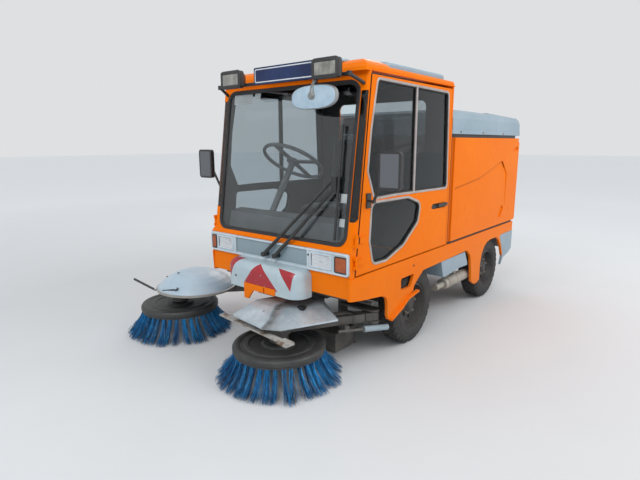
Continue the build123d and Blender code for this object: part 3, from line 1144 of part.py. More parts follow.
def arm_beam():
    """Lifting beam: two cheeks on the lift pin, a box beam, the hub motor and its two hoses."""
    beam = rod((-CHEEK_OUTER, -LIFT_OFFSET, ARM_Z), (CHEEK_OUTER, -LIFT_OFFSET, ARM_Z), PIN_RADIUS)
    for side in (-1, 1):
        x0, x1 = sorted((side * (TONGUE_HALF + 1), side * CHEEK_OUTER))
        beam += block(x0, x1, -LIFT_OFFSET - 60, -LIFT_OFFSET + 24, ARM_LOW_Z, ARM_TOP_Z)
    beam += block(-ARM_WIDTH / 2, ARM_WIDTH / 2, -ARM_LENGTH + 40, -LIFT_OFFSET - 34, ARM_LOW_Z, ARM_TOP_Z)
    beam += Pos(0, -ARM_LENGTH, ARM_Z) * Cylinder(HUB_PLATE_RADIUS, ARM_HEIGHT)
    beam += Pos(0, -ARM_LENGTH, (HUB_Z + CLEAR + ARM_Z) / 2) * Cylinder(MOTOR_RADIUS, ARM_Z - HUB_Z - CLEAR)
    beam += Pos(0, -ARM_LENGTH, (DISC_LOW_Z + ARM_Z) / 2) * Cylinder(PIN_RADIUS, ARM_Z - DISC_LOW_Z)
    for x in (-20.0, 4.0):
        beam += hose(x)
    return beam


def hose(x):
    """Hose that rises from the hub, runs along the beam and dips into it behind the lift pin."""
    path = FilletPolyline((x, -ARM_LENGTH + 30, ARM_TOP_Z - 6), (x, -ARM_LENGTH + 80, ARM_TOP_Z + HOSE_RADIUS + 4),
                          (x, -LIFT_OFFSET - 90, ARM_TOP_Z + HOSE_RADIUS + 4), (x, -LIFT_OFFSET - 50, ARM_TOP_Z - 8),
                          radius=60)
    start = Plane(origin=path @ 0, z_dir=path % 0)
    return sweep(start * RegularPolygon(HOSE_RADIUS, 6), path=path)


def bumper_bar():
    """Flat bar across the front of the left hub, its outer end widened, on a short strut."""
    a = Vector(BAR_END_RIGHT[0], BAR_END_RIGHT[1] - ARM_LENGTH)
    b = Vector(BAR_END_LEFT[0], BAR_END_LEFT[1] - ARM_LENGTH)
    run = b - a
    turn = math.degrees(math.atan2(run.Y, run.X))
    middle = Pos((a.X + b.X) / 2, (a.Y + b.Y) / 2, BAR_LOW_Z + BAR_THICK / 2) * Rot(0, 0, turn)
    bar = middle * Box(run.length, 2 * BAR_HALF, BAR_THICK)
    bar += middle * Pos(run.length / 2 - 45, 0, 0) * Box(90, 2 * BAR_HALF + 26, BAR_THICK + 6)
    bar += middle * Pos(30, 95, 0) * Box(64, 190, BAR_THICK)
    return bar


def arm_cylinder():
    """Cylinder under the left arm with its piston rod to the front and a clamp that holds it to the beam."""
    body = rod(CYLINDER_REAR, CYLINDER_MID, CYLINDER_RADIUS)
    body += rod(CYLINDER_MID, CYLINDER_FRONT, PISTON_RADIUS)
    body += block(-ARM_WIDTH / 2 + 4, 84, -246, -214, 262, ARM_LOW_Z + 3)
    return body


def broom_disc():
    """Backing disc with rolled rim and two raised rings."""
    top = HUB_Z
    profile = [(0, DISC_LOW_Z), (DISC_RADIUS - 6, DISC_LOW_Z), (DISC_RADIUS, DISC_LOW_Z + 8), (DISC_RADIUS, top - 18),
               (DISC_RADIUS - 8, top - 5), (DISC_RADIUS - 26, top), (DISC_RADIUS - 44, top - 4), (DISC_RADIUS - 50, top - 9),
               (DISC_RADIUS - 74, top - 9), (DISC_RADIUS - 82, top - 3), (DISC_RADIUS - 104, top - 3),
               (DISC_RADIUS - 112, top - 10), (118, top - 12), (104, top), (0, top)]
    disc = revolve(Plane.XZ * Polygon(*profile, align=None), axis=Axis.Z)
    disc -= Pos(0, 0, DISC_LOW_Z + DISC_THICK / 2) * Cylinder(PIN_RADIUS + PIN_CLEAR, DISC_THICK + 4)
    return Pos(0, -ARM_LENGTH, 0) * disc


def bristles():
    """Ring of splayed tufts fused to the backing ring under the disc."""
    ring = Pos(0, 0, DISC_LOW_Z - 6) * (Cylinder(DISC_RADIUS - 10, 12) - Cylinder(BRISTLE_ROOT_RADIUS - 50, 12))
    root = (BRISTLE_ROOT_RADIUS, DISC_LOW_Z - 4)
    tip = (BRISTLE_TIP_RADIUS, BRISTLE_TIP_Z)
    outline = [(root[0] - TUFT_ROOT / 2, root[1]), (root[0] + TUFT_ROOT / 2, root[1]), tip, (tip[0] - 90, tip[1])]
    tuft = extrude(Plane.XZ * Polygon(*outline, align=None), amount=TUFT_TIP / 2, both=True)
    for k in range(TUFTS):
        ring += Rot(0, 0, 360 / TUFTS * k) * tuft
    return Pos(0, -ARM_LENGTH, 0) * ring


# Near cover, a folded sheet: outlines of its rim and its flat top, both from the hub
SHEET_RIM = [(-191, -261), (121, -140), (187, -38), (150, 354), (-60, 385), (-215, 320), (-300, 90), (-285, -120)]
SHEET_TOP = [(-215, -105), (-62, -40), (20, 20), (30, 300), (-80, 335), (-185, 275), (-262, 60), (-240, -90)]
SHEET_RIM_Z = 392.0
SHEET_FOLD = 73.0
SHEET_THICK = 6.0
SHEET_HOLE = (30.0, 149.0, 22.0)
SHEET_SLOT = (-47.0, -85.0, 30.0, 8.0)


def near_cover():
    """Folded sheet cover over the left hub motor, with a hand hole, on a post."""
    outer = loft([Pos(0, 0, SHEET_RIM_Z) * Polygon(*SHEET_RIM, align=None),
                  Pos(0, 0, SHEET_RIM_Z + SHEET_FOLD) * Polygon(*SHEET_TOP, align=None)], ruled=True)
    inner = loft([Pos(0, 0, SHEET_RIM_Z - SHEET_THICK) * Polygon(*shrunk(SHEET_RIM, 0.975), align=None),
                  Pos(0, 0, SHEET_RIM_Z + SHEET_FOLD - SHEET_THICK) * Polygon(*shrunk(SHEET_TOP, 0.96), align=None)],
                 ruled=True)
    sheet = outer - inner
    sheet -= Pos(SHEET_HOLE[0], SHEET_HOLE[1], SHEET_RIM_Z) * Cylinder(SHEET_HOLE[2], 200)
    sheet -= Pos(SHEET_SLOT[0], SHEET_SLOT[1], SHEET_RIM_Z) * Box(SHEET_SLOT[2], SHEET_SLOT[3], 200)
    return Pos(0, -ARM_LENGTH, 0) * (sheet + cover_post(SHEET_RIM_Z + SHEET_FOLD - SHEET_THICK / 2, -40.0))


def shrunk(outline, share):
    """Outline drawn in towards its middle."""
    cx = sum(x for x, y in outline) / len(outline)
    cy = sum(y for x, y in outline) / len(outline)
    return [(cx + (x - cx) * share, cy + (y - cy) * share) for x, y in outline]


def cover_post(top, x):
    """Post from the hub plate up into a cover."""
    return Pos(x, 0, (ARM_TOP_Z + top) / 2) * Cylinder(24, top - ARM_TOP_Z)


# Far cover, a moulded dome: outer profile as (radius, height above its rim)
DOME = [(0, 148), (70, 145), (130, 134), (190, 112), (240, 84), (280, 50), (302, 26), (306, 18), (318, 14), (318, 0)]
DOME_RIM_Z = 352.0
DOME_BACK = 141.0
DOME_SKIN = 7.0
DOME_NOTCH_Z = 388.0
DOME_HOLES = [(-19.0, -91.0), (43.0, 8.0)]
DOME_HOLE_RADIUS = 6.0


def far_cover():
    """Smooth dome with a rim band, notched over the arm, on a post over the right hub."""
    inner = [(r - DOME_SKIN if r else 0, h - DOME_SKIN if h > DOME_SKIN else 0) for r, h in reversed(DOME)]
    dome = revolve(Plane.XZ * Polygon(*(DOME + inner), align=None), axis=Axis.Z)
    dome = Pos(0, DOME_BACK, DOME_RIM_Z) * dome
    half = ARM_WIDTH / 2 + CLEAR + 3
    notch_front = DOME_BACK + DOME[-1][0] * 0.7
    dome -= block(-half, half, notch_front, DOME_BACK + DOME[-1][0] + 5, DOME_RIM_Z - 5, DOME_NOTCH_Z)
    for x, y in DOME_HOLES:
        dome -= Pos(x, y, DOME_RIM_Z + DOME[0][1]) * Cylinder(DOME_HOLE_RADIUS, 160)
    return Pos(0, -ARM_LENGTH, 0) * (dome + cover_post(DOME_RIM_Z + 122, -50.0))


def dome_levers():
    """Rod at the dome's front rim and the catch lever with its knob on the flank."""
    rim = DOME_RIM_Z + 8
    levers = rod((84, -ARM_LENGTH - 172, rim), (0, -ARM_LENGTH - 350, rim + 76), 9)
    catch = (250, -ARM_LENGTH + 2, rim + 54)
    levers += rod((165, -ARM_LENGTH - 108, rim + 26), catch, 7)
    return levers + rod(catch, (268, -ARM_LENGTH + 24, rim + 59), 11)


def place(shape, side):
    """Turns a piece from straight ahead to its arm's rest angle at its pivot."""
    angle = ARM_REST_LEFT if side == "left" else ARM_REST_RIGHT
    x = ARM_PIVOT_X if side == "left" else -ARM_PIVOT_X
    return Pos(x, at(ARM_PIVOT), 0) * Rot(0, 0, angle) * shape


beams = {"left": arm_beam() + bumper_bar() + arm_cylinder(), "right": arm_beam()}
covers = {"left": near_cover(), "right": far_cover() + dome_levers()}
for side in ("left", "right"):
    save(place(arm_boss(), side), f"arm_boss_{side}")
    save(place(beams[side], side), f"arm_beam_{side}")
    save(place(covers[side], side), f"broom_cover_{side}")
    save(place(broom_disc(), side), f"broom_disc_{side}")
    save(place(bristles(), side), f"bristles_{side}")
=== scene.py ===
import math
import random

import bmesh
import bpy
from mathutils import Matrix, Vector, noise


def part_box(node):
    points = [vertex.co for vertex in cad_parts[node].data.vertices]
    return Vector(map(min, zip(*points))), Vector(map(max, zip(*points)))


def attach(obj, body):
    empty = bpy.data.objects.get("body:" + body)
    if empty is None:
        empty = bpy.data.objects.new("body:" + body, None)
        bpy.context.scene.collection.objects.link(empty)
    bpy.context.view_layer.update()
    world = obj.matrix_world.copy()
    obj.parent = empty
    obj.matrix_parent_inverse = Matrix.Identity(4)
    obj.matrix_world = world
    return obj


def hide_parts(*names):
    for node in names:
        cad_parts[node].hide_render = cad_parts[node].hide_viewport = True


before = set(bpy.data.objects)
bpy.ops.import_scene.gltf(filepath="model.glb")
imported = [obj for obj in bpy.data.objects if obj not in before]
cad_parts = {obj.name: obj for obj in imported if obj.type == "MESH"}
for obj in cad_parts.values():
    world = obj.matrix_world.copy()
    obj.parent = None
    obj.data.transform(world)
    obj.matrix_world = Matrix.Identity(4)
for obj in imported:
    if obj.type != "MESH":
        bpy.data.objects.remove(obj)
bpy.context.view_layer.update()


# Camera at eye height ahead of the sweeper's left corner, as the picture was taken.
# A 27 mm lens on a 36 mm frame, tilted down by eleven degrees.
CAMERA_PLACE = Vector((2.314, -2.724, 1.509))
CAMERA_TURN = math.radians(39.643)
CAMERA_DIP = math.radians(11.369)
CAMERA_ROLL = math.radians(-0.152)
LENS = 27.163

ahead = Vector((-math.sin(CAMERA_TURN) * math.cos(CAMERA_DIP), math.cos(CAMERA_TURN) * math.cos(CAMERA_DIP),
                -math.sin(CAMERA_DIP)))
level = Vector((math.cos(CAMERA_TURN), math.sin(CAMERA_TURN), 0))
overhead = level.cross(ahead)
rolled_right = math.cos(CAMERA_ROLL) * level + math.sin(CAMERA_ROLL) * overhead
rolled_up = math.cos(CAMERA_ROLL) * overhead - math.sin(CAMERA_ROLL) * level
camera_data = bpy.data.cameras.new("eye")
camera_data.lens = LENS
camera_data.sensor_width = 36.0
camera = bpy.data.objects.new("eye", camera_data)
bpy.context.scene.collection.objects.link(camera)
camera_axes = Matrix((rolled_right, rolled_up, -ahead)).transposed().to_4x4()
camera.matrix_world = Matrix.Translation(CAMERA_PLACE) @ camera_axes
bpy.context.scene.camera = camera
bpy.context.scene.view_settings.view_transform = "Standard"


# Plain studio: a pale sky lights softly from all round, with a large soft lamp ahead of the nose, one from
# the machine's left and a weaker one from behind. The floor is pale and plain and keeps the shadow.
def put(tree, kind, inputs=(), **settings):
    """Adds a node; inputs maps socket names or numbers to values or to sockets that feed them."""
    made = tree.nodes.new(kind)
    for key, value in settings.items():
        setattr(made, key, value)
    for socket, value in dict(inputs).items():
        if isinstance(value, bpy.types.NodeSocket):
            tree.links.new(value, made.inputs[socket])
        else:
            made.inputs[socket].default_value = value
    return made


def maths(tree, operation, a, b=0.0, clamp=False):
    return put(tree, "ShaderNodeMath", {0: a, 1: b}, operation=operation, use_clamp=clamp).outputs[0]


def mixed(tree, share, a, b):
    """Colour a, turning to colour b as the share grows."""
    return put(tree, "ShaderNodeMix", {0: share, 6: a, 7: b}, data_type="RGBA").outputs[2]


SKY_SEEN, SKY_SEEN_POWER = (0.735, 0.745, 0.76, 1), 1.0
SKY_LIGHT, SKY_LIGHT_POWER = (0.93, 0.97, 1.0, 1), 0.74
sky = bpy.data.worlds.new("studio")
bpy.context.scene.world = sky
sky.use_nodes = True
sky.node_tree.nodes.clear()
rays = put(sky.node_tree, "ShaderNodeLightPath").outputs
mirrored = maths(sky.node_tree, "MAXIMUM", rays["Is Glossy Ray"], rays["Is Transmission Ray"])
shown = maths(sky.node_tree, "MAXIMUM", rays["Is Camera Ray"], mirrored)
sky_seen = put(sky.node_tree, "ShaderNodeBackground", {"Color": SKY_SEEN, "Strength": SKY_SEEN_POWER})
sky_light = put(sky.node_tree, "ShaderNodeBackground", {"Color": SKY_LIGHT, "Strength": SKY_LIGHT_POWER})
sky_shades = {0: shown, 1: sky_light.outputs[0], 2: sky_seen.outputs[0]}
sky_mix = put(sky.node_tree, "ShaderNodeMixShader", sky_shades)
put(sky.node_tree, "ShaderNodeOutputWorld", {0: sky_mix.outputs[0]})


def soft_lamp(name, place, target, size, power):
    data = bpy.data.lights.new(name, "AREA")
    data.shape = "RECTANGLE"
    data.size = size[0]
    data.size_y = size[1]
    data.energy = power
    lamp = bpy.data.objects.new(name, data)
    bpy.context.scene.collection.objects.link(lamp)
    lamp.location = place
    lamp.rotation_euler = (Vector(target) - Vector(place)).to_track_quat("-Z", "Y").to_euler()


soft_lamp("key_lamp", (1.4, -5.2, 5.4), (0, 0.6, 0.9), (4.2, 3.0), 178.0)
soft_lamp("side_lamp", (5.7, 2.2, 5.1), (0, 0.9, 0.9), (4.6, 3.4), 205.0)
soft_lamp("rear_lamp", (-3.6, 5.6, 4.2), (0, 1.2, 0.9), (4.2, 3.0), 70.0)


def new_material(name, **values):
    """A material with its Principled shader; values are plain numbers and colours on its own sockets."""
    material = bpy.data.materials.new(name)
    material.use_nodes = True
    tree = material.node_tree
    shader = tree.nodes["Principled BSDF"]
    for key, value in values.items():
        shader.inputs[key.replace("_", " ")].default_value = value
    return material, tree, shader


def object_place(tree):
    return put(tree, "ShaderNodeTexCoord").outputs["Object"]


def speckle(tree, scale, detail=4.0, roughness=0.55, place=None):
    """Fine-grained noise over the object's own place."""
    return put(tree, "ShaderNodeTexNoise", {"Vector": place or object_place(tree), "Scale": scale,
                                            "Detail": detail, "Roughness": roughness}).outputs[0]


def span(tree, value, low, high, to_low=0.0, to_high=1.0):
    return put(tree, "ShaderNodeMapRange", {0: value, 1: low, 2: high, 3: to_low, 4: to_high}).outputs[0]


def mesh_object(name, verts, faces, material=None, smooth=True):
    mesh = bpy.data.meshes.new(name)
    mesh.from_pydata([tuple(v) for v in verts], [], faces)
    mesh.validate()
    piece = bpy.data.objects.new(name, mesh)
    bpy.context.scene.collection.objects.link(piece)
    if material:
        mesh.materials.append(material)
    if smooth:
        mesh.polygons.foreach_set("use_smooth", [True] * len(mesh.polygons))
    return piece


FLOOR_REACH = 60.0
FLOOR_PALES_FROM, FLOOR_PALE_AT = 3.0, 11.0
floor_material, floor_tree, floor_shader = new_material("studio_floor", Roughness=0.85)
near_tone = mixed(floor_tree, speckle(floor_tree, 1.7), (0.63, 0.64, 0.65, 1), (0.67, 0.68, 0.69, 1))
from_middle = put(floor_tree, "ShaderNodeVectorMath", {0: object_place(floor_tree)}, operation="LENGTH")
far_off = span(floor_tree, from_middle.outputs["Value"], FLOOR_PALES_FROM, FLOOR_PALE_AT)
floor_tone = mixed(floor_tree, far_off, near_tone, (0.96, 0.965, 0.975, 1))
floor_tree.links.new(floor_tone, floor_shader.inputs["Base Color"])
floor_corners = [(x * FLOOR_REACH, y * FLOOR_REACH, 0) for x, y in ((-1, -1), (1, -1), (1, 1), (-1, 1))]
floor = mesh_object("studio_floor", floor_corners, [(0, 1, 2, 3)], floor_material)


# Chassis, axles, springs and arms: rolled steel, black paint gone dull, with road film on the low parts.
# Everything is welded or bolted; the paint has worn through to brown at the edges. The engine is bare cast
# iron, and the suction duct that leads up from the mouth is black rubber.
def effect(name, ins, *outs):
    """A shader node group with named number inputs; all it puts out are numbers, but for a Normal."""
    group = bpy.data.node_groups.new(name, "ShaderNodeTree")
    for label, default in ins.items():
        socket = group.interface.new_socket(name=label, in_out="INPUT", socket_type="NodeSocketFloat")
        socket.default_value = default
    for label in outs:
        kind = "NodeSocketVector" if label == "Normal" else "NodeSocketFloat"
        group.interface.new_socket(name=label, in_out="OUTPUT", socket_type=kind)
    return group, group.nodes.new("NodeGroupInput").outputs, group.nodes.new("NodeGroupOutput").inputs


def use_effect(tree, group, **values):
    made = tree.nodes.new("ShaderNodeGroup")
    made.node_tree = group
    for key, value in values.items():
        made.inputs[key].default_value = value
    return made.outputs


def axes(tree):
    """The X, Y and Z of the object's own place."""
    return put(tree, "ShaderNodeSeparateXYZ", {0: object_place(tree)}).outputs


def within(tree, *zones):
    """Mask of what lies in all zones; each is a value, where it counts for nothing and where in full."""
    mask = None
    for value, nothing, full in zones:
        share = span(tree, value, nothing, full)
        mask = share if mask is None else maths(tree, "MULTIPLY", mask, share)
    return mask


# Edge wear: where a rounded normal leaves the flat one there is an edge, broken up by noise.
edge_wear, given, result = effect("edge_wear", {"Radius": 0.003, "Grain": 40.0, "Amount": 0.5},
                                  "Mask", "Normal")
rounded = put(edge_wear, "ShaderNodeBevel", {"Radius": given["Radius"]}, samples=4).outputs[0]
flat = put(edge_wear, "ShaderNodeNewGeometry").outputs["Normal"]
bend = put(edge_wear, "ShaderNodeVectorMath", {0: rounded, 1: flat}, operation="DOT_PRODUCT").outputs["Value"]
chips = speckle(edge_wear, given["Grain"], 5.0, 0.7)
worn = within(edge_wear, (bend, 0.98, 0.80), (chips, 0.46, 0.62))
edge_wear.links.new(maths(edge_wear, "MULTIPLY", worn, given["Amount"], clamp=True), result["Mask"])
edge_wear.links.new(rounded, result["Normal"])

# Road film: dust thrown up by the wheels and brooms, thick at the bottom and gone at the reach.
road_film, given, result = effect("road_film", {"Reach": 0.6, "Amount": 0.6, "Grain": 9.0}, "Mask")
fade = span(road_film, axes(road_film)["Z"], given["Reach"], 0.0)
cloud = speckle(road_film, given["Grain"], 7.0, 0.65)
film = maths(road_film, "MULTIPLY", fade, span(road_film, cloud, 0.30, 0.68, 0.15, 1.0))
road_film.links.new(maths(road_film, "MULTIPLY", film, given["Amount"], clamp=True), result["Mask"])

# Rain streaks: marks that run down an upright panel.
DOWN_THE_PANEL = (1.0, 1.0, 0.07)
rain_streaks, given, result = effect("rain_streaks", {"Width": 30.0, "Amount": 0.3}, "Mask")
stretched = put(rain_streaks, "ShaderNodeVectorMath", {0: object_place(rain_streaks), 1: DOWN_THE_PANEL},
                operation="MULTIPLY").outputs[0]
marks = span(rain_streaks, speckle(rain_streaks, given["Width"], 4.0, 0.6, stretched), 0.52, 0.75)
rain_streaks.links.new(maths(rain_streaks, "MULTIPLY", marks, given["Amount"], clamp=True), result["Mask"])

# Fine skin: the slight waviness and grain of a real surface, as a height.
fine_skin, given, result = effect("fine_skin", {"Wave": 3.0, "Grain": 300.0, "Share": 0.4}, "Height")
grain = maths(fine_skin, "MULTIPLY", speckle(fine_skin, given["Grain"], 3.0, 0.5), given["Share"])
waves = speckle(fine_skin, given["Wave"], 2.0, 0.5)
fine_skin.links.new(maths(fine_skin, "ADD", waves, grain), result["Height"])


def surface(name, colour, second, roughness, patch=6.0, wear=0.5, wear_colour=(0.2, 0.15, 0.12, 1), film=0.0,
            film_reach=0.6, film_colour=(0.30, 0.27, 0.23, 1), streaks=0.0, streak_colour=(0.2, 0.19, 0.18, 1),
            edge_radius=0.003, wave=3.0, grain=300.0, grain_share=0.3, relief=0.0006, **values):
    """A painted, cast or moulded surface: two tones in patches, worn edges, road film, streaks and fine skin."""
    material, tree, shader = new_material(name, **values)
    patches = span(tree, speckle(tree, patch, 6.0, 0.6), 0.36, 0.64)
    marks = use_effect(tree, rain_streaks, Amount=streaks)
    edges = use_effect(tree, edge_wear, Radius=edge_radius, Amount=wear)
    dust = use_effect(tree, road_film, Reach=film_reach, Amount=film)
    tone = mixed(tree, patches, colour, second)
    tone = mixed(tree, marks["Mask"], tone, streak_colour)
    tone = mixed(tree, edges["Mask"], tone, wear_colour)
    tree.links.new(mixed(tree, dust["Mask"], tone, film_colour), shader.inputs["Base Color"])
    uneven = span(tree, speckle(tree, patch * 5, 5.0, 0.6), 0.3, 0.7, roughness - 0.05, roughness + 0.07)
    dull = maths(tree, "ADD", uneven, maths(tree, "MULTIPLY", dust["Mask"], 0.45), clamp=True)
    tree.links.new(dull, shader.inputs["Roughness"])
    skin = use_effect(tree, fine_skin, Wave=wave, Grain=grain, Share=grain_share)
    bump = put(tree, "ShaderNodeBump", {"Distance": relief, "Height": skin["Height"],
                                        "Normal": edges["Normal"], "Strength": 0.8})
    tree.links.new(bump.outputs[0], shader.inputs["Normal"])
    return material


def dress(material, *names):
    """Gives CAD nodes their finish."""
    for name in names:
        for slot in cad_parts[name].material_slots:
            slot.material = material


DUST = (0.27, 0.25, 0.22, 1)
BLACK, BLACK_FADED = (0.030, 0.030, 0.032, 1), (0.055, 0.053, 0.050, 1)
BLACK_LOOK = dict(wear=0.7, wear_colour=(0.16, 0.09, 0.05, 1), film=0.75, film_reach=0.75, film_colour=DUST,
                  grain_share=0.8, relief=0.0012)
chassis_paint = surface("chassis_paint", BLACK, BLACK_FADED, 0.55, **BLACK_LOOK)
dress(chassis_paint, "chassis_frame", "arm_mounts", "front_axle", "rear_axle", "knuckle_left", "knuckle_right",
      "cab_floor", "suction_mouth", "arm_boss_left", "arm_boss_right", "arm_beam_right")
engine_iron = surface("engine_iron", (0.06, 0.055, 0.05, 1), (0.11, 0.10, 0.09, 1), 0.6, film=0.5,
                      film_reach=0.9, film_colour=DUST, grain_share=1.2, relief=0.002)
dress(engine_iron, "engine_block")
duct_rubber = surface("duct_rubber", (0.02, 0.02, 0.021, 1), (0.035, 0.035, 0.034, 1), 0.6, wear=0.2,
                      film=0.6, film_reach=0.7, film_colour=DUST)
dress(duct_rubber, "suction_duct")


# Wheels: pressed steel rims, dark and dusty, on tyres with a blocky tread in three rows each side. Each is
# held by five nuts round a domed hub cap. The sidewalls carry raised rings and are bare of any lettering.
tyre_low, tyre_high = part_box("tyre_front_left")
WHEEL_RADIUS = (tyre_high.z - tyre_low.z) / 2
TYRE_HALF_WIDE = (tyre_high.x - tyre_low.x) / 2 - 0.0005
TREAD_DEPTH = 0.009
TREAD_PITCHES = 30
# Sidewall from the bead outward, each point as how far it lies in from the tyre's side, and its radius.
SIDEWALL = [(0.018, 0.171), (0.010, 0.177), (0.005, 0.184), (0.0045, 0.190), (0.001, 0.200), (0.0, 0.214),
            (0.0003, 0.222), (0.0022, 0.226), (0.0022, 0.232), (0.0005, 0.236), (0.004, 0.252), (0.009, 0.264),
            (0.014, 0.274)]


def turned(name, profile, steps, material, closed=True):
    """A ring turned about the x axis from (x, radius) points."""
    verts, faces = [], []
    count = len(profile)
    for i in range(steps):
        angle = 2 * math.pi * i / steps
        verts += [(x, r * math.cos(angle), r * math.sin(angle)) for x, r in profile]
    for i in range(steps):
        j = (i + 1) % steps
        for k in range(count if closed else count - 1):
            m = (k + 1) % count
            faces.append((i * count + k, j * count + k, j * count + m, i * count + m))
    return mesh_object(name, verts, faces, material)


def joined(name, pieces):
    """One object from several, the first one's materials kept in order."""
    bpy.ops.object.select_all(action="DESELECT")
    for piece in pieces:
        piece.select_set(True)
    bpy.context.view_layer.objects.active = pieces[0]
    bpy.ops.object.join()
    whole = bpy.context.view_layer.objects.active
    whole.name = name
    whole.data.name = name
    return whole


def faceted(piece, angle=35.0):
    """Keeps edges sharper than the angle crisp."""
    bpy.ops.object.select_all(action="DESELECT")
    piece.select_set(True)
    bpy.context.view_layer.objects.active = piece
    bpy.ops.object.shade_smooth_by_angle(angle=math.radians(angle))
    return piece


def eased(piece, width, segments=2):
    """Rounds the edges of a piece by the width."""
    modifier = piece.modifiers.new("eased_edges", "BEVEL")
    modifier.width = width
    modifier.segments = segments
    modifier.limit_method = "ANGLE"
    modifier.angle_limit = math.radians(32)
    return piece


tyre_rubber = surface("tyre_rubber", (0.016, 0.016, 0.017, 1), (0.030, 0.030, 0.030, 1), 0.72, patch=14.0,
                      wear=0.35, wear_colour=(0.075, 0.072, 0.070, 1), film=0.40, film_reach=0.62,
                      film_colour=(0.085, 0.080, 0.072, 1), grain=420.0, grain_share=0.7, relief=0.0008)
rim_paint = surface("rim_paint", (0.018, 0.018, 0.020, 1), (0.042, 0.040, 0.040, 1), 0.40, wear=1.0,
                    wear_colour=(0.30, 0.27, 0.24, 1), film=0.40, film_reach=0.62,
                    film_colour=(0.10, 0.085, 0.07, 1))
nut_steel = surface("nut_steel", (0.20, 0.19, 0.18, 1), (0.30, 0.22, 0.16, 1), 0.42, patch=40.0, wear=0.5,
                    wear_colour=(0.45, 0.44, 0.42, 1), film=0.35, film_reach=0.62, Metallic=0.7)
dress(rim_paint, "rim_front_left", "rim_front_right", "rim_rear_left", "rim_rear_right")


def tread_block(x0, x1, a0, a1, skew, top0, top1, low):
    """Corners of one block: between two angles, from x0 to x1, its far edge skewed along the ring."""
    verts = []
    for x, r_top, shift in ((x0, top0, 0.0), (x1, top1, skew)):
        for angle in (a0 + shift, a1 + shift):
            for r in (low, r_top):
                verts.append((x, r * math.cos(angle), r * math.sin(angle)))
    faces = [(0, 1, 3, 2), (4, 6, 7, 5), (1, 5, 7, 3), (0, 4, 5, 1), (2, 3, 7, 6)]
    return verts, faces


def tyre_piece(name):
    """One tyre about its own middle: the carcass, and three rows of blocks each side of the middle groove."""
    half = TYRE_HALF_WIDE
    groove = WHEEL_RADIUS - TREAD_DEPTH
    flank = [(half - inset, r) for inset, r in SIDEWALL]
    flank += [(half - 0.024, groove - 0.003), (half - 0.040, groove)]
    profile = flank + [(0.0, groove + 0.001)] + [(-x, r) for x, r in reversed(flank)]
    body = turned(name + "_body", profile, 96, tyre_rubber)
    verts, faces = [], []
    pitch = 2 * math.pi / TREAD_PITCHES
    top = WHEEL_RADIUS - 0.0005
    # Each row: from x, to x, its start, width and skew in pitches, radius at both edges and at the foot.
    rows = [(0.004, 0.027, 0.0, 0.80, 0.10, top, top - 0.0005, groove - 0.004),
            (0.033, 0.056, 0.45, 0.78, 0.10, top - 0.0008, top - 0.003, groove - 0.004),
            (0.062, half - 0.006, 0.15, 0.66, 0.05, top - 0.004, 0.268, 0.262)]
    for side in (1, -1):
        for x0, x1, start, width, skew, top0, top1, low in rows:
            for k in range(TREAD_PITCHES):
                a0 = (k + start + (0.5 if side < 0 else 0)) * pitch
                a1 = a0 + width * pitch
                block, sides = tread_block(side * x0, side * x1, a0, a1, skew * pitch, top0, top1, low)
                sides = sides if side > 0 else [tuple(reversed(f)) for f in sides]
                faces += [tuple(i + len(verts) for i in f) for f in sides]
                verts += block
    blocks = mesh_object(name + "_blocks", verts, faces, tyre_rubber)
    return eased(faceted(joined(name, [body, blocks])), 0.0015, 1)


def bolt_head(place, axis_turn, radius, depth, steps=6, dome=0.0):
    """Corners and faces of a nut or bolt head that stands out along x (then turned by axis_turn)."""
    ring = [(math.cos(math.tau * k / steps), math.sin(math.tau * k / steps)) for k in range(steps)]
    verts = [Vector((x, radius * share * c, radius * share * s))
             for x, share in ((0, 1.0), (depth, 1.0), (depth + dome, 0.72)) for c, s in ring]
    faces = [(low + k, low + (k + 1) % steps, low + steps + (k + 1) % steps, low + steps + k)
             for low in (0, steps) for k in range(steps)]
    faces += [tuple(range(2 * steps, 3 * steps))]
    return [axis_turn @ v + Vector(place) for v in verts], faces


def heads(name, places, facing, radius, depth, material, body, steps=6, dome=0.0015):
    """Bolt heads or nuts on washers, standing on a surface that faces a given way, as one piece."""
    turn = Vector((1, 0, 0)).rotation_difference(Vector(facing)).to_matrix()
    verts, faces = [], []
    for place in places:
        for r, d, n in ((radius * 1.5, depth * 0.22, 20), (radius, depth, steps)):
            more, sides = bolt_head(place, turn, r, d, n, dome if n == steps else 0.0002)
            faces += [tuple(i + len(verts) for i in f) for f in sides]
            verts += more
    piece = faceted(mesh_object(name, verts, faces, material))
    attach(piece, body)
    return piece


def set_on_wheel(piece, middle, sign, wheel):
    """Puts a piece made about its own middle on a wheel, turned round on the right side."""
    piece.location = middle
    if sign < 0:
        piece.rotation_euler = (0, 0, math.pi)
    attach(piece, wheel)


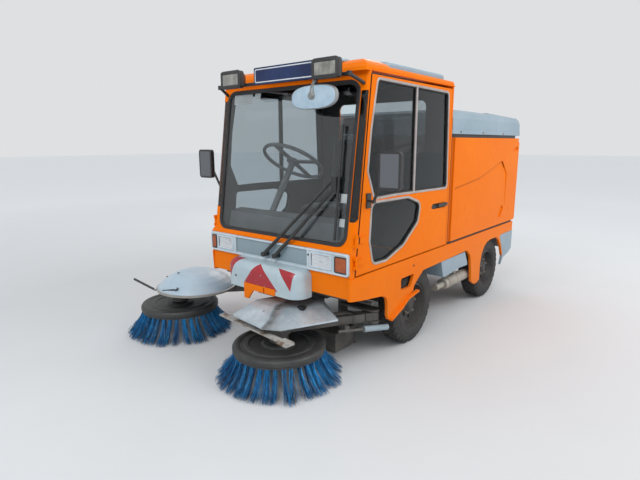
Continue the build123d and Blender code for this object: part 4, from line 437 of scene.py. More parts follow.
NUT_RING, NUT_FACE, NUT_TURN = 0.073, 0.0325, 0.3
HUB_CAP = [(0.0445, 0.045), (0.047, 0.044), (0.052, 0.036), (0.055, 0.024), (0.056, 0.010), (0.0562, 0.0004)]
nut_turns = [math.tau * k / 5 + NUT_TURN for k in range(5)]
for end in ("front", "rear"):
    for side, sign in (("left", 1), ("right", -1)):
        wheel = f"wheel_{end}_{side}"
        low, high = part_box(f"tyre_{end}_{side}")
        middle = (low + high) / 2
        tyre = tyre_piece(f"tread_{end}_{side}")
        set_on_wheel(tyre, middle, sign, wheel)
        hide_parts(f"tyre_{end}_{side}")
        around = [(NUT_RING * math.cos(a), NUT_RING * math.sin(a)) for a in nut_turns]
        nuts = [middle + Vector((sign * NUT_FACE, y, z)) for y, z in around]
        heads(f"wheel_nuts_{end}_{side}", nuts, (sign, 0, 0), 0.0105, 0.013, nut_steel, wheel,
              dome=0.004)
        cap = turned(f"hub_cap_{end}_{side}", HUB_CAP, 32, rim_paint, closed=False)
        set_on_wheel(cap, middle, sign, wheel)


# Cab and body panels: sheet steel in bright orange enamel, welded to the frame, gloss gone a little uneven
# in the sun, with dust along the sills; the hopper's fold and the gap behind the cab carry painted shade.
ORANGE = (0.84, 0.168, 0.001, 1)
ORANGE_FADED = (0.865, 0.188, 0.002, 1)
ORANGE_LOOK = dict(patch=1.7, wear=0.35, wear_colour=(0.50, 0.16, 0.05, 1), film=0.35, film_reach=0.80,
                   film_colour=(0.36, 0.19, 0.09, 1), streaks=0.10, streak_colour=(0.55, 0.14, 0.02, 1),
                   wave=1.8, grain=160.0, grain_share=0.03, relief=0.0009, Coat_Weight=0.07,
                   Coat_Roughness=0.08, IOR=1.10)
orange_paint = surface("orange_paint", ORANGE, ORANGE_FADED, 0.30, **ORANGE_LOOK)
dress(orange_paint, "side_skirts", "front_bracket", "tailgate")


def tint(tree, mask, tone):
    """Lays a tone over what the Base Color shows so far, where the mask says."""
    base = tree.nodes["Principled BSDF"].inputs["Base Color"]
    tree.links.new(mixed(tree, mask, base.links[0].from_socket, tone), base)


def off(tree, value, middle=0.0):
    """How far a value lies from a middle, either way."""
    return maths(tree, "ABSOLUTE", maths(tree, "SUBTRACT", value, middle))


# The hopper's paint carries a painted shadow line, with some dirt, under the fold of its pressing, and painted
# shade on the inset front strip and on the front face in the gap behind the cab.
HOPPER_FRONT_Y = 0.897
HOPPER_FOLD = [(0.969, 1.134), (0.995, 1.148), (1.489, 1.201), (1.601, 1.226), (1.961, 1.322), (2.040, 1.333),
               (2.108, 1.273)]
FOLD_SHADOW_DEEP = 0.016
STRIP_BACK_Y, STRIP_HALF = HOPPER_FRONT_Y + 0.048, 0.6545
# Painted shadow under the fold: a dark band just below each stretch of the fold line, fading over its depth.
fold_shadow, given, result = effect("fold_shadow", {"Y0": 0.0, "Z0": 0.0, "Run": 1.0, "Rise": 0.0, "Long": 1.0,
                                                "Deep": 0.01}, "Mask")
fold_spot = axes(fold_shadow)
ahead_of = maths(fold_shadow, "SUBTRACT", fold_spot["Y"], given["Y0"])
above = maths(fold_shadow, "SUBTRACT", fold_spot["Z"], given["Z0"])
along = maths(fold_shadow, "ADD", maths(fold_shadow, "MULTIPLY", ahead_of, given["Run"]),
              maths(fold_shadow, "MULTIPLY", above, given["Rise"]))
below = maths(fold_shadow, "SUBTRACT", maths(fold_shadow, "MULTIPLY", ahead_of, given["Rise"]),
              maths(fold_shadow, "MULTIPLY", above, given["Run"]))
past_end = maths(fold_shadow, "SUBTRACT", along, given["Long"])
beside = within(fold_shadow, (along, -0.004, 0.0), (past_end, 0.004, 0.0), (below, -0.003, 0.0))
fading = maths(fold_shadow, "SUBTRACT", 1.0, maths(fold_shadow, "DIVIDE", below, given["Deep"]), clamp=True)
fold_shadow.links.new(maths(fold_shadow, "MULTIPLY", beside, fading, clamp=True), result["Mask"])
hopper_paint = surface("hopper_paint", ORANGE, ORANGE_FADED, 0.30, **ORANGE_LOOK)
hopper_tree = hopper_paint.node_tree
fold_shadow_mask = 0.0
for (y0, z0), (y1, z1) in zip(HOPPER_FOLD, HOPPER_FOLD[1:]):
    long = math.hypot(y1 - y0, z1 - z0)
    shadow_piece = use_effect(hopper_tree, fold_shadow, Y0=y0, Z0=z0, Run=(y1 - y0) / long, Rise=(z1 - z0) / long,
                      Long=long, Deep=FOLD_SHADOW_DEEP)
    fold_shadow_mask = maths(hopper_tree, "MAXIMUM", fold_shadow_mask, shadow_piece["Mask"])
hopper_spot = axes(hopper_tree)
strip = within(hopper_tree, (hopper_spot["Y"], STRIP_BACK_Y + 0.001, STRIP_BACK_Y - 0.001),
               (off(hopper_tree, hopper_spot["X"]), STRIP_HALF + 0.0005, STRIP_HALF - 0.0005))
front_face = within(hopper_tree, (hopper_spot["Y"], HOPPER_FRONT_Y + 0.003, HOPPER_FRONT_Y + 0.001))
# Painted shade: the fold's shadow line, the inset front strip and the front face are darkened.
tint(hopper_tree, maths(hopper_tree, "MULTIPLY", fold_shadow_mask, 0.85), (0.30, 0.045, 0.001, 1))
tint(hopper_tree, maths(hopper_tree, "MULTIPLY", strip, 0.75), (0.42, 0.065, 0.001, 1))
tint(hopper_tree, front_face, (0.10, 0.022, 0.004, 1))
dress(hopper_paint, "hopper_body")

# The cab's own panels carry the same enamel outside and a dark grey lining inside. Round the glass the lining
# reaches nearly to the front face; under the roof's edge the enamel runs round, so it stops lower there.
FRONT_RAKE = 0.1441
LINING_FRONT, GLASS_LINING_FRONT = -0.508, -0.532
cab_paint = surface("cab_paint", ORANGE, ORANGE_FADED, 0.30, **ORANGE_LOOK)
cab_tree = cab_paint.node_tree
spot = axes(cab_tree)
beside_middle = off(cab_tree, spot["X"])
reclined = maths(cab_tree, "SUBTRACT", spot["Y"], maths(cab_tree, "MULTIPLY", spot["Z"], FRONT_RAKE))
by_glass = within(cab_tree, (beside_middle, 0.642, 0.640), (spot["Z"], 0.870, 0.874),
                  (reclined, GLASS_LINING_FRONT - 0.001, GLASS_LINING_FRONT + 0.001))
behind_front = span(cab_tree, reclined, LINING_FRONT - 0.001, LINING_FRONT + 0.001)
behind_front = maths(cab_tree, "MAXIMUM", by_glass, behind_front)
drip = within(cab_tree, (spot["Z"], 1.902, 1.906), (beside_middle, 0.600, 0.604))
lining = within(cab_tree, (beside_middle, 0.6515, 0.6505), (behind_front, 0.0, 1.0),
                (spot["Y"], 0.874, 0.872), (spot["Z"], 0.600, 0.602), (spot["Z"], 1.952, 1.950), (drip, 1.0, 0.0))
lining_tone = mixed(cab_tree, speckle(cab_tree, 9.0), (0.050, 0.050, 0.052, 1), (0.085, 0.083, 0.080, 1))
tint(cab_tree, lining, lining_tone)
# A dark rubber line fills the raked seam between the pillar and the door.
SEAM_LOW_Y, SEAM_TOP_Y, SEAM_LOW_Z, SEAM_TOP_Z = -0.3845, -0.2365, 0.702, 1.925
seam_rake = (SEAM_TOP_Y - SEAM_LOW_Y) / (SEAM_TOP_Z - SEAM_LOW_Z)
seam_rise = maths(cab_tree, "MULTIPLY", maths(cab_tree, "SUBTRACT", spot["Z"], SEAM_LOW_Z), seam_rake)
seam_at = maths(cab_tree, "ADD", seam_rise, SEAM_LOW_Y)
seam = within(cab_tree, (off(cab_tree, spot["Y"], seam_at), 0.0075, 0.0060), (spot["Z"], 0.700, 0.704),
              (spot["Z"], 1.912, 1.908))
tint(cab_tree, seam, (0.060, 0.014, 0.006, 1))
dress(cab_paint, "cab_front", "cab_roof", "cab_rear_wall", "door_left", "door_right")


# Pale mouldings: hopper cover, roof hood, side tanks and rear panel in blue-grey gel coat, chalky on top,
# with faint grey streaks where rain has run off. The cover's inset foot lies in shade and is painted near
# black as that shade.
FOOT_LOW_Z, FOOT_TOP_Z = 1.545, 1.5755
gel_coat = surface("gel_coat", (0.235, 0.325, 0.385, 1), (0.285, 0.375, 0.440, 1), 0.40, patch=2.8, wear=0.3,
                   wear_colour=(0.55, 0.57, 0.58, 1), film=0.45, film_reach=0.70,
                   film_colour=(0.24, 0.22, 0.20, 1), streaks=0.35, streak_colour=(0.26, 0.30, 0.32, 1), wave=2.6,
                   grain=180.0, grain_share=0.08, relief=0.0020, Coat_Weight=0.15, Coat_Roughness=0.2)
gel_tree = gel_coat.node_tree
gel_z = axes(gel_tree)["Z"]
# Painted shade: the inset foot under the cover's flange is tinted near black.
foot = within(gel_tree, (gel_z, FOOT_LOW_Z - 0.005, FOOT_LOW_Z), (gel_z, FOOT_TOP_Z + 0.0005, FOOT_TOP_Z))
tint(gel_tree, foot, (0.015, 0.015, 0.015, 1))
dress(gel_coat, "hopper_cover", "roof_hood", "side_tanks", "rear_panel")

# Dome over the right broom: a gel coat moulding too, its rim scuffed grey. The rod and the catch lever on it
# are black, and dark rubber grommets close its two small holes.
RIGHT_PIVOT = Vector((-0.552, -0.020, 0))
RIGHT_REST = Matrix.Rotation(math.radians(-42), 3, "Z")
DOME_RIM_Z = 0.368
DOME_RODS = [((0.080, -0.862, 0.364), (0.0, -1.031, 0.437), 0.0100),
             ((0.170, -0.781, 0.380), (0.251, -0.677, 0.407), 0.0085),
             ((0.249, -0.680, 0.405), (0.269, -0.654, 0.412), 0.0120)]
DOME_HOLES = [(-0.019, -0.771, 0.4385), (0.043, -0.672, 0.4815)]
dome_coat = surface("dome_coat", (0.38, 0.50, 0.60, 1), (0.46, 0.57, 0.66, 1), 0.36, patch=4.0, wear=0.4,
                    wear_colour=(0.28, 0.28, 0.27, 1), film=0.75, film_reach=0.46,
                    film_colour=(0.23, 0.21, 0.18, 1), streaks=0.2, streak_colour=(0.30, 0.33, 0.35, 1),
                    relief=0.0010, Coat_Weight=0.2)
dome_tree = dome_coat.node_tree
rim_tone = mixed(dome_tree, speckle(dome_tree, 25.0, 6.0, 0.7), (0.20, 0.19, 0.17, 1), (0.36, 0.35, 0.33, 1))
tint(dome_tree, span(dome_tree, axes(dome_tree)["Z"], DOME_RIM_Z + 0.003, DOME_RIM_Z), rim_tone)


def from_right_pivot(place):
    """A place given from the right arm's pivot, arm straight ahead, as it lies at rest."""
    return RIGHT_PIVOT + RIGHT_REST @ Vector(place)


def on_rod(tree, start, end, radius):
    """Mask of all that lies within a round rod's radius between its ends."""
    run = (end - start).normalized()
    long = (end - start).length
    away = put(tree, "ShaderNodeVectorMath", {0: object_place(tree), 1: start}, operation="SUBTRACT").outputs[0]
    along = put(tree, "ShaderNodeVectorMath", {0: away, 1: run}, operation="DOT_PRODUCT").outputs["Value"]
    foot = put(tree, "ShaderNodeVectorMath", {0: run, "Scale": along}, operation="SCALE").outputs[0]
    apart = put(tree, "ShaderNodeVectorMath", {0: away, 1: foot}, operation="DISTANCE").outputs["Value"]
    return within(tree, (along, -0.001, 0.001), (along, long + 0.001, long - 0.001),
                  (apart, radius + 0.0005, radius - 0.0005))


for start, end, radius in DOME_RODS:
    rod = on_rod(dome_tree, from_right_pivot(start), from_right_pivot(end), radius)
    tint(dome_tree, rod, (0.022, 0.022, 0.024, 1))
dress(dome_coat, "broom_cover_right")
seal_rubber = surface("seal_rubber", (0.012, 0.012, 0.013, 1), (0.022, 0.022, 0.023, 1), 0.5, wear=0.2,
                      grain=500.0)
heads("dome_grommets", [from_right_pivot(hole) for hole in DOME_HOLES], (0, 0, 1), 0.0085, 0.004, seal_rubber,
      "lift_right", steps=16)


# Silencer: a rolled sheet drum on its own pipe, slung beneath the left side tank. Its aluminium paint is
# burnt brown at the seams.
silencer_coat = surface("silencer_coat", (0.36, 0.32, 0.27, 1), (0.46, 0.43, 0.38, 1), 0.5, patch=8.0, wear=0.7,
                        wear_colour=(0.25, 0.12, 0.06, 1), film=0.5, film_reach=0.5, Metallic=0.4)
dress(silencer_coat, "silencer")


# Lamp panel: pressed sheet under the windscreen, painted pale. Frame bands of lighter paint stand round a
# grey-blue recess.
RECESS_Y, RECESS_X, RECESS_HALF = -0.4475, -0.023, 0.345
frame_pale = surface("frame_pale", (0.50, 0.58, 0.64, 1), (0.58, 0.65, 0.70, 1), 0.38, patch=6.0, wear=0.5,
                     wear_colour=(0.30, 0.30, 0.29, 1), streaks=0.25, streak_colour=(0.34, 0.36, 0.37, 1),
                     relief=0.0005)
panel_paint = surface("panel_paint", (0.42, 0.50, 0.55, 1), (0.48, 0.56, 0.61, 1), 0.42, patch=6.0, wear=0.4,
                      wear_colour=(0.34, 0.34, 0.33, 1), streaks=0.35, streak_colour=(0.24, 0.27, 0.28, 1),
                      relief=0.0006)
panel_tree = panel_paint.node_tree
panel_spot = axes(panel_tree)
recess_tone = mixed(panel_tree, speckle(panel_tree, 11.0, 6.0, 0.7), (0.20, 0.27, 0.31, 1),
                    (0.27, 0.34, 0.38, 1))
from_recess = off(panel_tree, panel_spot["X"], RECESS_X)
sunk = within(panel_tree, (panel_spot["Y"], RECESS_Y - 0.001, RECESS_Y + 0.001),
              (from_recess, RECESS_HALF + 0.001, RECESS_HALF - 0.001))
tint(panel_tree, sunk, recess_tone)
dress(panel_paint, "lamp_panel")


# Black plastic: the lamp bar, the wiper and the door mirrors' shells, moulded with a fine grain. The shells
# are painted a lighter grey on the face that looks ahead, and paler on their edges as wear and as a painted
# highlight; the rim between stays black. The dashboard is a dark grey moulding with a coarser grain.
PLASTIC, PLASTIC_FADED = (0.018, 0.018, 0.019, 1), (0.030, 0.030, 0.031, 1)
PLASTIC_LOOK = dict(patch=9.0, grain=700.0, grain_share=0.6, relief=0.0005)
PLASTIC_WORN = (0.10, 0.10, 0.10, 1)
black_plastic = surface("black_plastic", PLASTIC, PLASTIC_FADED, 0.42, wear=0.3, wear_colour=PLASTIC_WORN,
                        streaks=0.10, streak_colour=PLASTIC_WORN, **PLASTIC_LOOK)
dress(black_plastic, "lamp_bar", "wiper")
# The shell's wide pale edge wear is partly wear and partly a painted highlight on its edges.
shell_plastic = surface("mirror_shell", PLASTIC, PLASTIC_FADED, 0.42, wear=0.6,
                        wear_colour=(0.16, 0.15, 0.15, 1), edge_radius=0.006, **PLASTIC_LOOK)
shell_tree = shell_plastic.node_tree
shell_spot = axes(shell_tree)
shell_out = off(shell_tree, shell_spot["X"])
# The face that looks ahead is painted a lighter grey.
lighter_ahead = within(shell_tree, (shell_spot["Y"], -0.328, -0.3295), (shell_out, 0.782, 0.787),
                (shell_out, 0.908, 0.903), (shell_spot["Z"], 1.252, 1.257), (shell_spot["Z"], 1.448, 1.443))
tint(shell_tree, lighter_ahead, (0.105, 0.112, 0.125, 1))
dress(shell_plastic, "door_mirror_left", "door_mirror_right")
dash_plastic = surface("dash_plastic", (0.10, 0.105, 0.11, 1), (0.14, 0.145, 0.15, 1), 0.6, patch=7.0, wear=0.3,
                       wear_colour=(0.22, 0.22, 0.22, 1), grain=900.0, grain_share=1.0, relief=0.0006)
dress(dash_plastic, "dashboard")


# Skirts: a rubber strip lies along the top edge below the hopper, pressed on, and one small screw sits in
# each sill behind the front wheel.
SKIRT_STRIP = [(-0.007, 0.0), (-0.007, 0.012), (-0.003, 0.0165), (0.003, 0.0165), (0.007, 0.012), (0.007, 0.0)]
SKIRT_STRIP_PATH = [(0.6470, y, 0.6935) for y in (0.905, 1.4, 1.9, 2.430)]
SILL_SCREW_X, SILL_SCREW_Y, SILL_SCREW_Z = 0.6612, 0.343, 0.631


def swept(name, path, section, material, outward, closed=True, body="vehicle"):
    """Strip of a section (across, outward) points laid along a path; outward is the way it stands up."""
    path = [Vector(p) for p in path]
    verts, faces = [], []
    count, n = len(path), len(section)
    out = Vector(outward).normalized()
    for i, p in enumerate(path):
        if closed:
            along = path[(i + 1) % count] - path[i - 1]
        else:
            along = path[min(i + 1, count - 1)] - path[max(i - 1, 0)]
        along.normalize()
        across = along.cross(out).normalized()
        up = across.cross(along).normalized()
        verts += [p + across * a + up * b for a, b in section]
    for i in range(count if closed else count - 1):
        j = (i + 1) % count
        for k in range(n):
            m = (k + 1) % n
            faces.append((i * n + k, i * n + m, j * n + m, j * n + k))
    if not closed:
        faces += [tuple(range(n)), tuple((count - 1) * n + k for k in reversed(range(n)))]
    piece = mesh_object(name, verts, faces, material)
    bm = bmesh.new()
    bm.from_mesh(piece.data)
    bmesh.ops.recalc_face_normals(bm, faces=bm.faces)
    bm.to_mesh(piece.data)
    bm.free()
    faceted(piece, 40)
    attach(piece, body)


for side, sign in (("left", 1), ("right", -1)):
    swept(f"skirt_strip_{side}", [(sign * x, y, z) for x, y, z in SKIRT_STRIP_PATH], SKIRT_STRIP, seal_rubber,
          (0, 0, 1), closed=False)
    heads(f"sill_screw_{side}", [(sign * SILL_SCREW_X, SILL_SCREW_Y, SILL_SCREW_Z)], (sign, 0, 0), 0.0055,
          0.003, seal_rubber, "vehicle")


# Windscreen, corner panes, door panes and rear pane: tinted safety glass that shows the studio's sky and
# the dark cab behind. Rubber seals hold them; the windscreen is painted dark along its top as the shade of the
# roof's brow and the sign.
def glass(name, tone, roughness=0.0, **values):
    """Clear glass, its tone crossed by faint rain marks."""
    values = {"IOR": 1.5, "Roughness": roughness, **values}
    material, tree, shader = new_material(name, Transmission_Weight=1.0, Metallic=0.0, **values)
    marks = use_effect(tree, rain_streaks, Width=22.0, Amount=0.20)
    paler = [0.82 * c + 0.08 for c in tone[:3]] + [1]
    tree.links.new(mixed(tree, marks["Mask"], tone, paler), shader.inputs["Base Color"])
    return material


cab_pane = glass("cab_pane", (0.90, 0.975, 1.0, 1), Specular_IOR_Level=0.6)
pane_tree = cab_pane.node_tree
pane_spot = axes(pane_tree)
corner_panes = span(pane_tree, off(pane_tree, pane_spot["X"]), 0.596, 0.600)
# Painted shade: the windscreen's top strip is darkened where the roof's brow and the sign shade it.
brow_shade_band = within(pane_tree, (pane_spot["Z"], 1.800, 1.822), (pane_spot["X"], -0.262, -0.258),
                  (pane_spot["X"], 0.594, 0.590), (pane_spot["Y"], 0.5, 0.4))
tint(pane_tree, corner_panes, (0.42, 0.43, 0.44, 1))
tint(pane_tree, brow_shade_band, (0.06, 0.065, 0.07, 1))
door_pane = glass("door_pane", (0.40, 0.44, 0.46, 1), IOR=1.3)
dress(cab_pane, "cab_glass")
dress(door_pane, "door_glass_left", "door_glass_right")


# The windscreen's rubber: a broad outer lip and a thinner locking strip, all round the raked opening.
PANEL_Y = -0.450
SCREEN_FOOT_Y, SCREEN_FOOT_Z = PANEL_Y + 0.040, 0.884
SCREEN_LOW_Z, SCREEN_TOP_Z, SCREEN_HALF = 0.888, 1.867, 0.590
SCREEN_CORNER = 0.070
LIP = [(-0.016, -0.004), (-0.013, 0.003), (-0.006, 0.0055), (0.001, 0.0035), (0.008, 0.0055), (0.013, 0.002),
       (0.013, -0.006)]
LIP_OVERLAP = 0.002
screen_rake = 0.150 / 1.041
screen_out = Vector((0, -1, screen_rake)).normalized()


def round_corners(outline, radius, steps=8):
    """Points round a flat outline whose corners are rounded by the radius."""
    points = []
    count = len(outline)
    for i, corner in enumerate(outline):
        here = Vector(corner)
        to_last = (Vector(outline[i - 1]) - here).normalized()
        to_next = (Vector(outline[(i + 1) % count]) - here).normalized()
        half = to_last.angle(to_next) / 2
        if math.pi / 2 - half < 0.02:
            points.append(here)
            continue
        reach = radius / math.tan(half)
        centre = here + (to_last + to_next).normalized() * radius / math.sin(half)
        start, end = here + to_last * reach - centre, here + to_next * reach - centre
        turn = start.angle_signed(end)
        for k in range(steps + 1):
            points.append(centre + Matrix.Rotation(-turn * k / steps, 2) @ start)
    return points


def box_corners(x0, x1, z0, z1):
    """Corners of an upright rectangle, anticlockwise as seen from ahead."""
    return [(x0, z0), (x1, z0), (x1, z1), (x0, z1)]


def screen_y(z, proud=0.0):
    """Y of the raked screen frame's outer surface at a height."""
    return SCREEN_FOOT_Y + (z - SCREEN_FOOT_Z) * screen_rake - proud


lip_corners = box_corners(-SCREEN_HALF - LIP_OVERLAP, SCREEN_HALF + LIP_OVERLAP, SCREEN_LOW_Z - LIP_OVERLAP,
                          SCREEN_TOP_Z + LIP_OVERLAP)
lip_path = [(x, screen_y(z), z) for x, z in round_corners(lip_corners, SCREEN_CORNER + LIP_OVERLAP)]
swept("screen_seal", lip_path, LIP, seal_rubber, screen_out)


# Small blank papers and tabs lie behind the glass: two at the top right corner, two at the left edge. They
# are held by their own glue.
paper_white = surface("paper_white", (0.84, 0.86, 0.87, 1), (0.90, 0.91, 0.91, 1), 0.8, patch=20.0, wear=0.0)
GLASS_BEHIND, PAPER_THICK = 0.0102, 0.0004
PAPERS = [(-0.537, -0.343, 1.785, 1.856), (-0.320, -0.258, 1.816, 1.854), (0.524, 0.570, 1.147, 1.202),
          (0.529, 0.569, 1.000, 1.050)]
SLAB = [(0, 1, 2, 3), (7, 6, 5, 4), (0, 4, 5, 1), (1, 5, 6, 2), (2, 6, 7, 3), (3, 7, 4, 0)]
for number, edges in enumerate(PAPERS):
    verts = [(x, screen_y(z, -GLASS_BEHIND - d), z) for d in (0.0, PAPER_THICK) for x, z in box_corners(*edges)]
    paper = mesh_object(f"paper_{number}", verts, SLAB, paper_white, False)
    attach(paper, "vehicle")


# Doors: orange pressings with a silver-framed upper window split by a divider, and a lower window with a
# rounded eight-cornered outline in a pale seal. The frames sit on the pressing, the rubbers on the glass.
trim_silver = surface("trim_silver", (0.42, 0.36, 0.34, 1), (0.52, 0.47, 0.45, 1), 0.32, patch=10.0, wear=0.4,
                      wear_colour=(0.7, 0.68, 0.66, 1), streaks=0.25, streak_colour=(0.22, 0.17, 0.14, 1),
                      Metallic=0.55)
pale_seal = surface("pale_seal", (0.34, 0.30, 0.27, 1), (0.44, 0.40, 0.37, 1), 0.5, patch=12.0, wear=0.2)
# Each point is how far it lies behind the lamp panel's plane, and its height.
UPPER_WINDOW = [(0.284, 1.882), (1.250, 1.872), (1.288, 1.168), (0.497, 1.177), (0.266, 1.172), (0.192, 1.340),
                (0.222, 1.590)]
LOWER_WINDOW = [(0.240, 1.139), (0.690, 1.135), (0.868, 1.080), (0.838, 0.950), (0.640, 0.812), (0.420, 0.744),
                (0.262, 0.748), (0.222, 0.900)]
DOOR_X = 0.654
DIVIDER_Y, DIVIDER_LOW_Z, DIVIDER_TOP_Z = PANEL_Y + 0.770, 1.172, 1.878
TRIM_SECTION = [(-0.009, -0.004), (-0.009, 0.0022), (-0.006, 0.0036), (0.004, 0.0036), (0.007, 0.0022),
                (0.007, -0.004)]
EDGE_SECTION = [(-0.004, -0.012), (-0.004, 0.001), (0.0, 0.0030), (0.004, 0.001), (0.004, -0.012)]
DIVIDER_SECTION = [(-0.011, -0.006), (-0.011, 0.001), (-0.004, 0.004), (0.004, 0.004), (0.011, 0.001),
                   (0.011, -0.006)]
# Each trim: name, outline, how far it is grown, corner radius, sunk by, section, material, slot.
WINDOW_TRIMS = [("window_frame", UPPER_WINDOW, 0.006, 0.030, 0.0, TRIM_SECTION, trim_silver, "bare_sheet"),
                ("window_rubber", UPPER_WINDOW, -0.005, 0.019, 0.004, EDGE_SECTION, seal_rubber,
                 "black_plastic"),
                ("low_window_seal", LOWER_WINDOW, 0.004, 0.050, 0.0, TRIM_SECTION, pale_seal, "bare_sheet"),
                ("low_window_rubber", LOWER_WINDOW, -0.006, 0.040, 0.003, EDGE_SECTION, seal_rubber,
                 "black_plastic")]


def grown(outline, amount):
    """An outline moved outward by an amount, corner by corner."""
    count = len(outline)
    moved = []
    ends = zip(outline, outline[1:] + outline[:1])
    way = 1 if sum(y0 * z1 - y1 * z0 for (y0, z0), (y1, z1) in ends) > 0 else -1
    for i in range(count):
        a, b, c = Vector(outline[i - 1]), Vector(outline[i]), Vector(outline[(i + 1) % count])
        n0, n1 = (b - a).normalized(), (c - b).normalized()
        n0, n1 = Vector((n0.y, -n0.x)) * way, Vector((n1.y, -n1.x)) * way
        mitre = (n0 + n1).normalized()
        moved.append(tuple(b + mitre * amount / max(mitre.dot(n1), 0.3)))
    return moved


for side, sign in (("left", 1), ("right", -1)):
    for name, outline, growth, radius, sunk, section, material, slot in WINDOW_TRIMS:
        loop = round_corners(grown(outline, growth), radius)
        path = [(sign * (DOOR_X - sunk), PANEL_Y + s, z) for s, z in loop]
        swept(f"{name}_{side}", path, section, material, (sign, 0, 0), body=f"door_{side}")
    upright = [(sign * (DOOR_X - 0.001), DIVIDER_Y, z) for z in (DIVIDER_LOW_Z, DIVIDER_TOP_Z)]
    swept(f"window_divider_{side}", upright, DIVIDER_SECTION, trim_silver, (sign, 0, 0), closed=False,
          body=f"door_{side}")


# Lamps in the nose panel: round-cornered housings with a bright bowl behind ribbed clear glass, and dark
# amber indicators with ribs in black surrounds. The two work lamps on the roof bar have ribbed pale glass.
bowl_material, bowl_tree, bowl_shader = new_material("lamp_bowl", Metallic=1.0)
bowl_tone = mixed(bowl_tree, speckle(bowl_tree, 60.0), (0.82, 0.84, 0.86, 1), (0.92, 0.93, 0.94, 1))
bowl_tree.links.new(bowl_tone, bowl_shader.inputs["Base Color"])
bowl_dull = span(bowl_tree, speckle(bowl_tree, 20.0), 0.3, 0.7, 0.12, 0.20)
bowl_tree.links.new(bowl_dull, bowl_shader.inputs["Roughness"])
lens_material = glass("lamp_lens", (0.93, 0.94, 0.95, 1), 0.03)
amber = surface("amber_lens", (0.30, 0.048, 0.002, 1), (0.40, 0.070, 0.004, 1), 0.16, patch=30.0, wear=0.0,
                film=0.2, film_reach=1.2, film_colour=(0.25, 0.10, 0.03, 1), Coat_Weight=0.5)
work_glass = surface("work_lamp_glass", (0.16, 0.155, 0.14, 1), (0.30, 0.295, 0.27, 1), 0.20, patch=14.0,
                     wear=0.0, streaks=0.5, streak_colour=(0.42, 0.41, 0.38, 1), Coat_Weight=0.3)


def ribbed(name, x0, x1, z0, z1, y, ribs, depth, material, bulge=0.0, upright=True):
    """A lens facing forward, its front pressed into ribs, with a skirt that closes its edge."""
    columns, rows = (ribs * 6, 12) if upright else (12, ribs * 6)
    verts, faces = [], []
    for j in range(rows + 1):
        for i in range(columns + 1):
            u, v = i / columns, j / rows
            share = u if upright else v
            wave = depth * (0.5 - 0.5 * math.cos(math.tau * ribs * share))
            crown = bulge * (1 - (2 * u - 1) ** 4) * (1 - (2 * v - 1) ** 4)
            verts.append((x0 + (x1 - x0) * u, y - wave - crown, z0 + (z1 - z0) * v))
            if i and j:
                a = j * (columns + 1) + i
                faces.append((a, a - 1, a - columns - 2, a - columns - 1))
    lens = mesh_object(name, verts, faces, material)
    thick = lens.modifiers.new("thickness", "SOLIDIFY")
    thick.thickness = 0.002
    thick.offset = 1.0
    return lens


def bowl(name, x0, x1, z0, z1, y_rim, y_deep, material):
    """Shallow bright reflector with a bulb's boss in the middle."""
    steps = 20
    verts, faces = [], []
    for j in range(steps + 1):
        for i in range(steps + 1):
            u, v = i / steps, j / steps
            r = min(1.0, math.hypot(2 * u - 1, 2 * v - 1) / 1.05)
            boss = 0.006 * math.exp(-(r / 0.16) ** 2)
            verts.append((x0 + (x1 - x0) * u, y_deep + (y_rim - y_deep) * r ** 2 - boss, z0 + (z1 - z0) * v))
            if i and j:
                a = j * (steps + 1) + i
                faces.append((a, a - 1, a - steps - 2, a - steps - 1))
    return mesh_object(name, verts, faces, material)


def inset_edges(edges, inset):
    """A rectangle's (x0, x1, z0, z1) moved inward all round."""
    x0, x1, z0, z1 = edges
    return x0 + inset, x1 - inset, z0 + inset, z1 - inset


def facing_path(y, edges, radius, steps):
    """Path round an upright rectangle with rounded corners, in a plane that faces ahead."""
    return [(x, y, z) for x, z in round_corners(box_corners(*edges), radius, steps)]


HEADLAMPS = [(-0.573, -0.406, 0.735, 0.828), (0.347, 0.518, 0.735, 0.828)]
HEADLAMP_RIM = [(-0.008, -0.004), (-0.008, 0.001), (-0.005, 0.004), (0.001, 0.004), (0.004, 0.001),
                (0.004, -0.004)]
INDICATORS = [(-0.641, -0.588, 0.727, 0.827), (0.545, 0.641, 0.727, 0.827)]
INDICATOR_RIM = [(-0.005, -0.008), (-0.005, 0.002), (0.0, 0.004), (0.005, 0.002), (0.005, -0.008)]
WORK_LAMPS = [(x - 0.080, x + 0.080, 1.892, 1.968) for x in (-0.344, 0.482)]
WORK_BEZEL = [(-0.010, -0.003), (-0.009, 0.002), (0.006, 0.002), (0.014, -0.003)]
AHEAD = (0, -1, 0)
front_glass = []
for number, edges in enumerate(HEADLAMPS):
    front_glass.append(bowl(f"headlamp_bowl_{number}", *inset_edges(edges, 0.003), PANEL_Y + 0.004,
                            PANEL_Y + 0.0115, bowl_material))
    front_glass.append(ribbed(f"headlamp_lens_{number}", *inset_edges(edges, 0.004), PANEL_Y + 0.001, 12,
                              0.0005, lens_material, bulge=0.002))
    swept(f"headlamp_rim_{number}", facing_path(PANEL_Y - 0.001, edges, 0.008, 4), HEADLAMP_RIM, frame_pale,
          AHEAD)
for number, edges in enumerate(INDICATORS):
    front_glass.append(ribbed(f"indicator_lens_{number}", *inset_edges(edges, 0.006), PANEL_Y - 0.001, 12,
                              0.0012, amber, bulge=0.0015, upright=False))
    swept(f"indicator_rim_{number}", facing_path(PANEL_Y - 0.001, inset_edges(edges, 0.003), 0.008, 4),
          INDICATOR_RIM, seal_rubber, AHEAD)
for number, edges in enumerate(WORK_LAMPS):
    front_glass.append(ribbed(f"work_lamp_lens_{number}", *edges, PANEL_Y - 0.0165, 16, 0.001, work_glass,
                              bulge=0.002))
    swept(f"work_lamp_bezel_{number}", facing_path(PANEL_Y - 0.0195, inset_edges(edges, -0.008), 0.012, 5),
          WORK_BEZEL, black_plastic, AHEAD)
for piece in front_glass:
    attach(piece, "vehicle")
    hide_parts("front_lamps")

